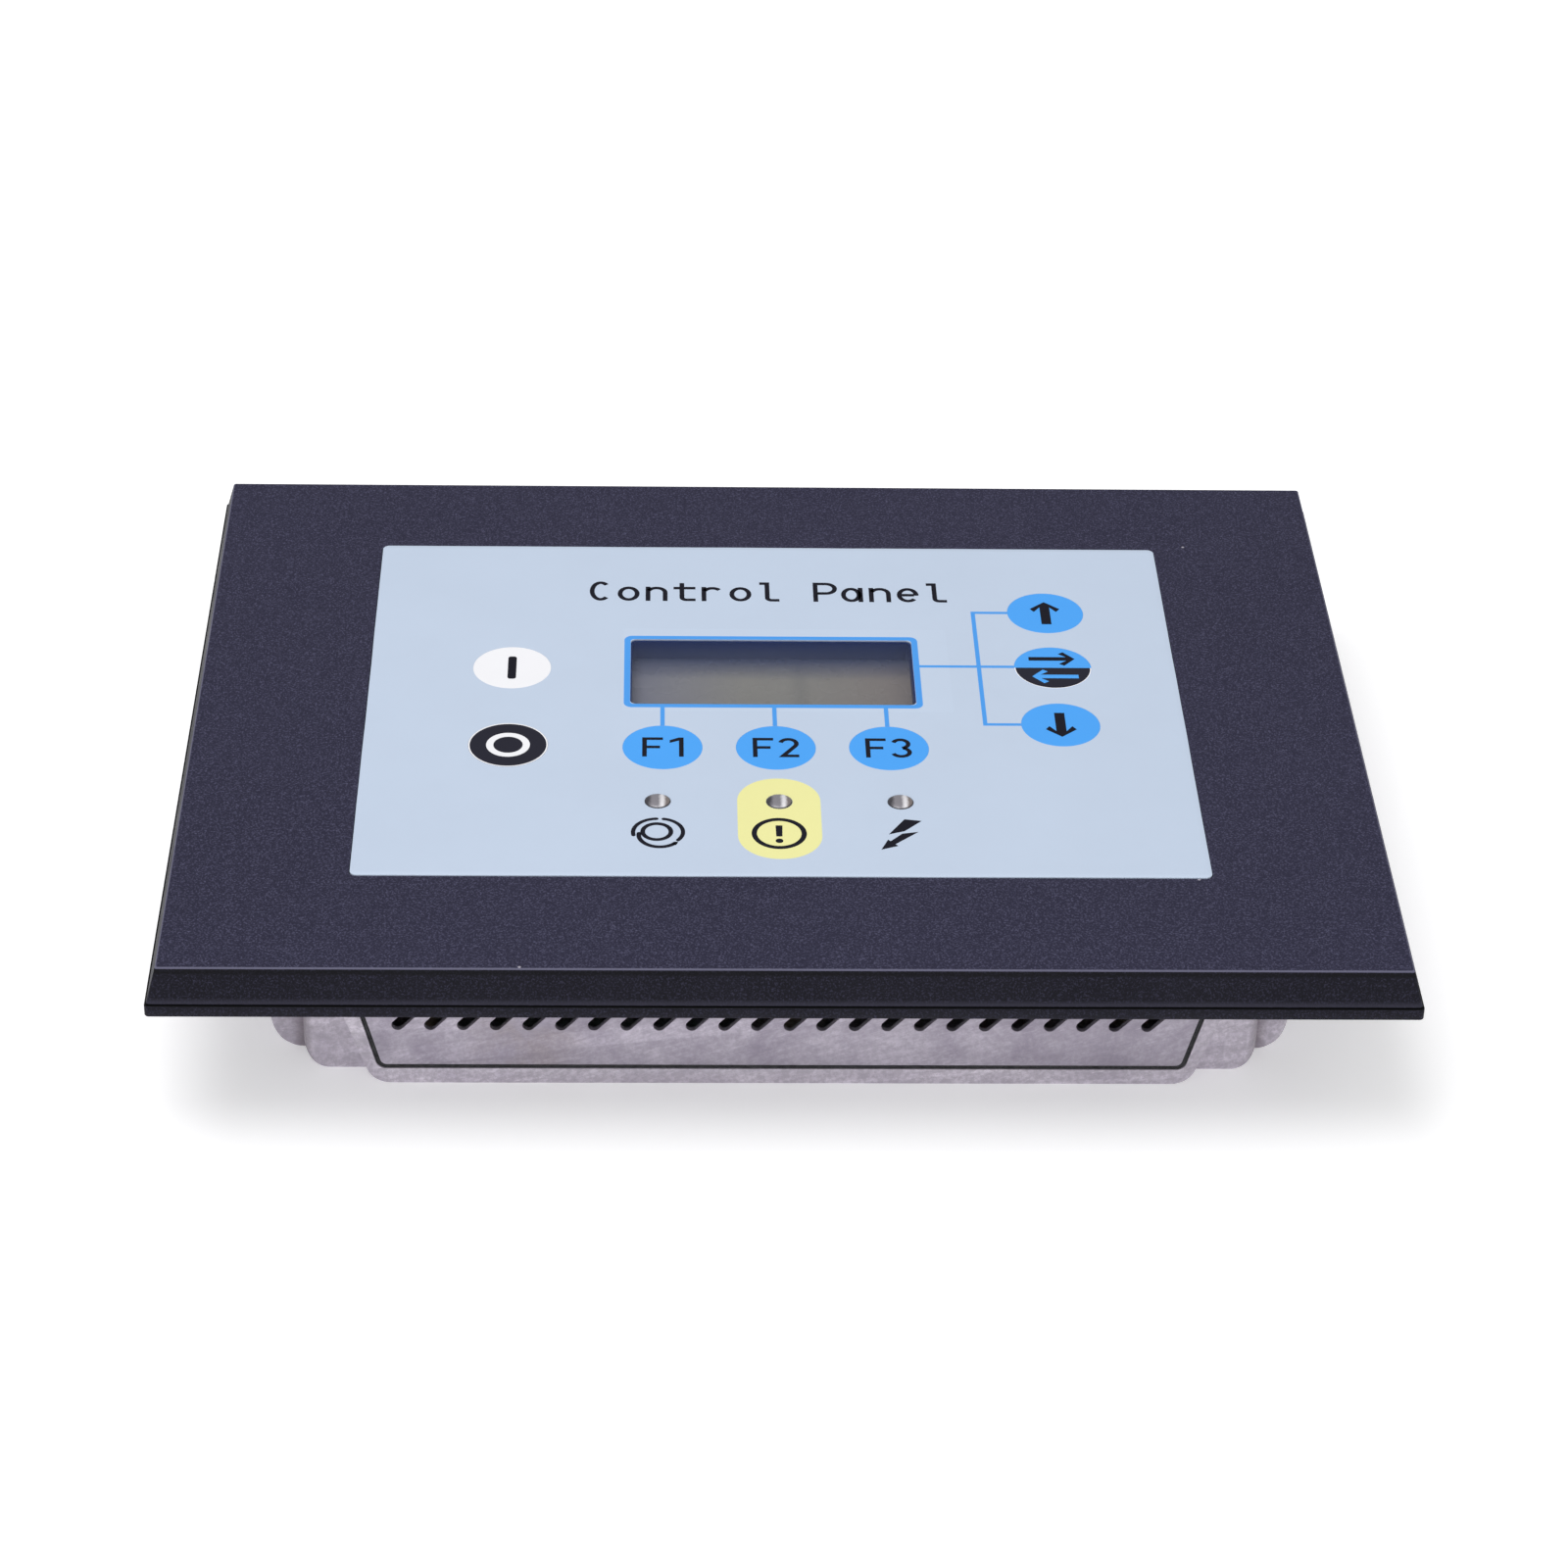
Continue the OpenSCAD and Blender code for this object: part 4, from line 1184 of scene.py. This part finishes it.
def pan_profile(low, top, shank_r, shank_top):
    """Pan head from low to top, then a threaded shank up to shank_top."""
    height, head_r = top - low, 2.75
    return ([(head_r * 0.62, low), (head_r * 0.85, low + height * 0.12),
             (head_r * 0.97, low + height * 0.4), (head_r, low + height * 0.75), (head_r, top),
             (shank_r, top)] + thread_rows(shank_r, top + 0.1, shank_top - 0.5)
            + [(shank_r * 0.6, shank_top), (0, shank_top)])


def screws(paint):
    """Cross-head screws in place of the plain ones."""
    rear = []
    for x, y in STANDOFFS:
        profile = [(2.75, 0.1), (2.85, 0.18), (1.5, 1.7)] + thread_rows(1.5, 1.8, 7.5)
        rear.append(cross_screw(x, y, profile + [(1.0, 8), (0, 8)], 2.9, 0.9))
    low, high = span("frame_screws")
    seats = [cross_screw(x, y, pan_profile(low.z, low.z + 1.8, 1.45, high.z), 2.6, 0.9)
             for x, y in FRAME_SCREWS]
    for node, parts in (("rear_screws", rear), ("frame_screws", seats)):
        add(node + "_cross", joined(*parts), paint, node)


STANDOFFS = [(x, y) for x in (-88, 0, 88) for y in (-48, 68)]


def stud(x, y, r, head_r, collar_r, levels):
    """A press-in stud with a true helical thread, from its tip up to its head."""
    tip, seat, head_low, head_top = levels
    steps, depth, pitch, per_turn = 36, 0.42, 0.8, 10
    rows = int((seat - 1.2 - tip) / pitch * per_turn)
    verts, faces = [(x * MM, y * MM, tip * MM)], []
    radii = []
    for i in range(rows + 1):
        z = tip + i * pitch / per_turn
        ring_radii = []
        for k in range(steps):
            phase = (i / per_turn - k / steps) % 1
            crest = min(1, max(0, 2.4 * abs(2 * phase - 1) - 0.7))
            taper = min(1, (z - tip) / 0.9) * 0.25 + 0.75
            ring_radii.append((r - depth * (1 - crest)) * taper)
        radii.append((z, ring_radii))
    for r_plain, z in ((r, seat - 1.1), (r, seat), (collar_r, seat), (collar_r, head_low),
                       (head_r, head_low), (head_r, head_top - 0.15), (head_r - 0.15, head_top)):
        radii.append((z, [r_plain] * steps))
    for z, ring_radii in radii:
        verts += [((x + q * math.cos(math.tau * k / steps)) * MM,
                   (y + q * math.sin(math.tau * k / steps)) * MM, z * MM)
                  for k, q in enumerate(ring_radii)]
    faces += [(0, 1 + (k + 1) % steps, 1 + k) for k in range(steps)]
    for i in range(len(radii) - 1):
        a, b = 1 + i * steps, 1 + (i + 1) * steps
        faces += [(a + k, a + (k + 1) % steps, b + (k + 1) % steps, b + k) for k in range(steps)]
    last = 1 + (len(radii) - 1) * steps
    faces.append(tuple(last + k for k in range(steps)))
    return verts, faces


def studs(paint):
    """Four threaded studs in the mounting frame's corners."""
    low, high = span("mounting_studs")
    frame_low, frame_high = span("mounting_frame")
    head_r = 4
    x, y = high.x - head_r, high.y - head_r
    levels = (low.z, frame_low.z, frame_high.z, high.z)
    four = [stud(sx * x, sy * y, 2.5, head_r, 2.9, levels) for sx in (-1, 1) for sy in (-1, 1)]
    add("studs_threaded", joined(*four), paint, "mounting_studs")


# ---- connectors in the back

HEADER_NODES = ("input_header", "output_header", "sensor_header")
PIN_PITCH = 5.08
HEADER_WAYS = 12


def pin_x(centre, i):
    return centre + (i - (HEADER_WAYS - 1) / 2) * PIN_PITCH


def header(node, paint):
    """A twelve-way header: shell with eased edges and coding ribs."""
    low, high = span(node)
    wall, floor = 1.2, high.z - 4
    x, y = (low.x + high.x) / 2, (low.y + high.y) / 2
    w, d = high.x - low.x, high.y - low.y

    def level(inset, z, r):
        return at_level(rounded_box(x, y, w - 2 * inset, d - 2 * inset, r), z)
    shell = loft([level(wall, low.z + 0.3, 0.5), level(wall - 0.25, low.z, 0.6),
                  level(0.25, low.z, 0.7), level(0, low.z + 0.25, 0.8), level(0, high.z, 0.8),
                  level(wall, high.z, 0.5), level(wall, floor, 0.5)])
    parts = [shell, boxed(low.x + wall, high.x - wall, low.y + wall, high.y - wall, floor,
                          high.z - 0.02, 0.05)]
    for i in range(HEADER_WAYS):
        rib_x = pin_x(x, i)
        parts.append(boxed(rib_x - 0.6, rib_x + 0.6, high.y - wall - 0.7, high.y - wall + 0.05,
                           low.z + 1.2, floor + 0.1, 0.12))
        if i:
            parts.append(boxed(rib_x - PIN_PITCH / 2 - 0.3, rib_x - PIN_PITCH / 2 + 0.3,
                               low.y + wall - 0.05, low.y + wall + 1.6, low.z + 2.6, floor + 0.1,
                               0.1))
    add(node + "_shell", joined(*parts), paint, node)


def comms_plug(metal, insert, steel):
    """A nine-way D-shaped socket on its flange, with two hexagonal jack screws."""
    low, high = span("comms_socket")
    x, y = (low.x + high.x) / 2, (low.y + high.y) / 2
    w, d = high.x - low.x, high.y - low.y

    def d_shape(inset, z):
        top, bottom, r = 8.4 - inset, 7.2 - inset, 1.3
        half = 4.1 - inset
        corners = ((top, half, 0), (-top, half, 90), (-bottom, -half, 180), (bottom, -half, 270))
        points = []
        for cx, cy, start in corners:
            points += arc(x + cx - math.copysign(r, cx), y + cy - math.copysign(r, cy), r, start,
                          start + 90, 8)
        return at_level(points, z)
    tube = loft([d_shape(0.6, low.z), d_shape(0, low.z + 0.3), d_shape(0, low.z + 6),
                 d_shape(0.6, low.z + 6)])
    flange_z = low.z + 5.2
    flange = loft([at_level(rounded_box(x, y, w - 2 * i, d - 2 * i, 1.2), z)
                   for i, z in ((0.2, flange_z), (0, flange_z + 0.2), (0, flange_z + 1.1),
                                (0.2, flange_z + 1.3))], True)
    body = boxed(x - 9.5, x + 9.5, y - 5, y + 5, flange_z + 1.3, high.z, 0.4)
    add("comms_shell", joined(tube, flange, body), metal, "comms_socket")
    core = loft([d_shape(0.8, low.z + 0.9), d_shape(0.62, low.z + 1.1), d_shape(0.62, low.z + 6)],
                True)
    add("comms_insert", core, insert)
    jacks = []
    for side in (-12.5, 12.5):
        jacks.append(turned([(0, low.z + 1.4), (1.0, low.z + 1.4), (1.3, low.z), (2.6, low.z),
                             (2.8, low.z + 0.3), (2.8, flange_z + 0.1), (0, flange_z + 0.1)],
                            x + side, y, 6))
    add("comms_jacks", joined(*jacks), steel, smooth_under=20)


def pins(paint):
    """Square pins with tapered ends."""
    low, high = span("header_pins")
    parts = []
    for node in HEADER_NODES:
        x, y = middle(node)
        for i in range(HEADER_WAYS):
            px = pin_x(x, i)
            parts.append(boxed(px - 0.5, px + 0.5, y - 0.5, y + 0.5, low.z, high.z, 0.22))
    x, y = middle("comms_socket")
    for row in (-1, 1):
        for i in range(5 if row > 0 else 4):
            px = x + (i - (2 if row > 0 else 1.5)) * 2.8
            parts.append(turned([(0, low.z - 3.6), (0.35, low.z - 3.5), (0.5, low.z - 3.2),
                                 (0.5, high.z - 4), (0, high.z - 4)], px, y + row * 1.42, 12))
    add("connector_pins", joined(*parts), paint, "header_pins")


# ---- the whole object

LABEL_BLUE = srgb(196, 210, 230)
STEEL = (0.62, 0.62, 0.64)
OFF_THE_OBJECT = 1.0
FILMS = {
    "label_film": (LABEL_BLUE,),
    "label_patch": (shade(LABEL_BLUE, 1.02),),
    "print_blue": (srgb(72, 158, 240),),
    "key_blue": (srgb(72, 166, 250),),
    "key_black": (srgb(30, 30, 44), 0.5, 0.2),
    "print_dark": (srgb(17, 17, 30), 0.55, 0.15),
    "print_yellow": (srgb(241, 238, 165),),
    "key_white": (srgb(246, 246, 250),),
    "spacer_film": (srgb(228, 228, 220),),
}
CASTS = {
    "cast_aluminium": (srgb(226, 219, 230), srgb(194, 186, 200), 0.5, OFF_THE_OBJECT, 0.1165),
    "plate_aluminium": (srgb(206, 199, 212), srgb(166, 158, 174), 0.3, -0.062, OFF_THE_OBJECT),
}
METALS = {
    "screw_steel": (STEEL, 0.26),
    "dome_steel": (STEEL, 0.22),
    "frame_steel": ((0.55, 0.56, 0.6), 0.36, (0.1, 1, 1)),
    "comms_steel": ((0.6, 0.6, 0.62), 0.3, (0.2, 1, 1)),
    "pin_brass": ((0.75, 0.6, 0.3), 0.24),
    "standoff_brass": ((0.72, 0.56, 0.28), 0.3, (1, 1, 0.1)),
}
PLASTICS = {
    "display_frame": (srgb(52, 52, 58), 0.5),
    "light_guide": (srgb(236, 236, 228), 0.3),
    "socket_cream": (srgb(228, 220, 200), 0.45),
    "socket_black": (srgb(34, 34, 38), 0.42),
    "chip_black": (srgb(32, 32, 36), 0.5, 1500),
    "relay_case": (srgb(226, 222, 208), 0.34),
    "capacitor_case": (srgb(44, 50, 62), 0.3),
    "header_green": (srgb(58, 148, 80), 0.38),
}
SPECIAL = {
    "bezel_black": bezel_material,
    "window_clear": window_material,
    "window_lining": lining_material,
    "lamp_lens": lamp_material,
    "display_glass": lcd_material,
    "board_green": board_material,
    "ribbon_grey": ribbon_material,
    "circuit_film": circuit_film_material,
    "blank_label": blank_label_material,
    "seal_rubber": foam_material,
}


def make_paints():
    """Every finish by its name."""
    paints = {name: make() for name, make in SPECIAL.items()}
    for make, looks in ((film_material, FILMS), (cast_material, CASTS), (metal_material, METALS),
                        (plastic_material, PLASTICS)):
        for name, look in looks.items():
            paints[name] = make(name, *look)
    return paints


CARRIED_OVER = {
    "spacer_film": ["keypad_spacer"],
    "circuit_film": ["keypad_circuit", "keypad_tail"],
    "socket_cream": ["keypad_socket"],
    "board_green": ["led_board", "lcd_board", "main_board"],
    "ribbon_grey": ["led_ribbon", "display_ribbon"],
    "socket_black": ["ribbon_sockets"],
    "display_glass": ["lcd_glass"],
    "light_guide": ["lcd_backlight"],
    "screw_steel": ["display_screws", "board_screws"],
    "capacitor_case": ["capacitors"],
    "standoff_brass": ["board_standoffs"],
    "dome_steel": ["buffer_battery"],
    "chip_black": ["processor_chips"],
    "relay_case": ["relays"],
}


def repaint(node, paint):
    """Gives a carried-over CAD node its finish."""
    target = NODES[node]
    if not target.material_slots:
        target.data.materials.append(paint)
    for holder in target.material_slots:
        holder.material = paint


def build():
    """Finishes the CAD nodes that stay and builds the detailed pieces."""
    paints = make_paints()
    for name, nodes in CARRIED_OVER.items():
        for node in nodes:
            repaint(node, paints[name])
    bezel(paints["bezel_black"])
    keypad(paints)
    snap_domes(paints["dome_steel"])
    window_pane(paints["window_clear"])
    window_lining(paints["window_lining"])
    lamps(paints["lamp_lens"])
    for node, slot, ease in (("rear_housing", "cast_aluminium", 0.3),
                             ("vent_plate_front", "plate_aluminium", 0.15),
                             ("vent_plate_back", "plate_aluminium", 0.15),
                             ("mounting_frame", "frame_steel", 0.2),
                             ("panel_gasket", "seal_rubber", 0.25),
                             ("display_gasket", "seal_rubber", 0.15),
                             ("lcd_frame", "display_frame", 0.2),
                             ("rating_label", "blank_label", 0.05)):
        eased(node, paints[slot], ease)
    plate_seals_and_seam_shade(paints["seal_rubber"])
    screws(paints["screw_steel"])
    studs(paints["screw_steel"])
    for node in HEADER_NODES:
        header(node, paints["header_green"])
    comms_plug(paints["comms_steel"], paints["socket_black"], paints["screw_steel"])
    pins(paints["pin_brass"])


make_camera()
make_stage()
build()
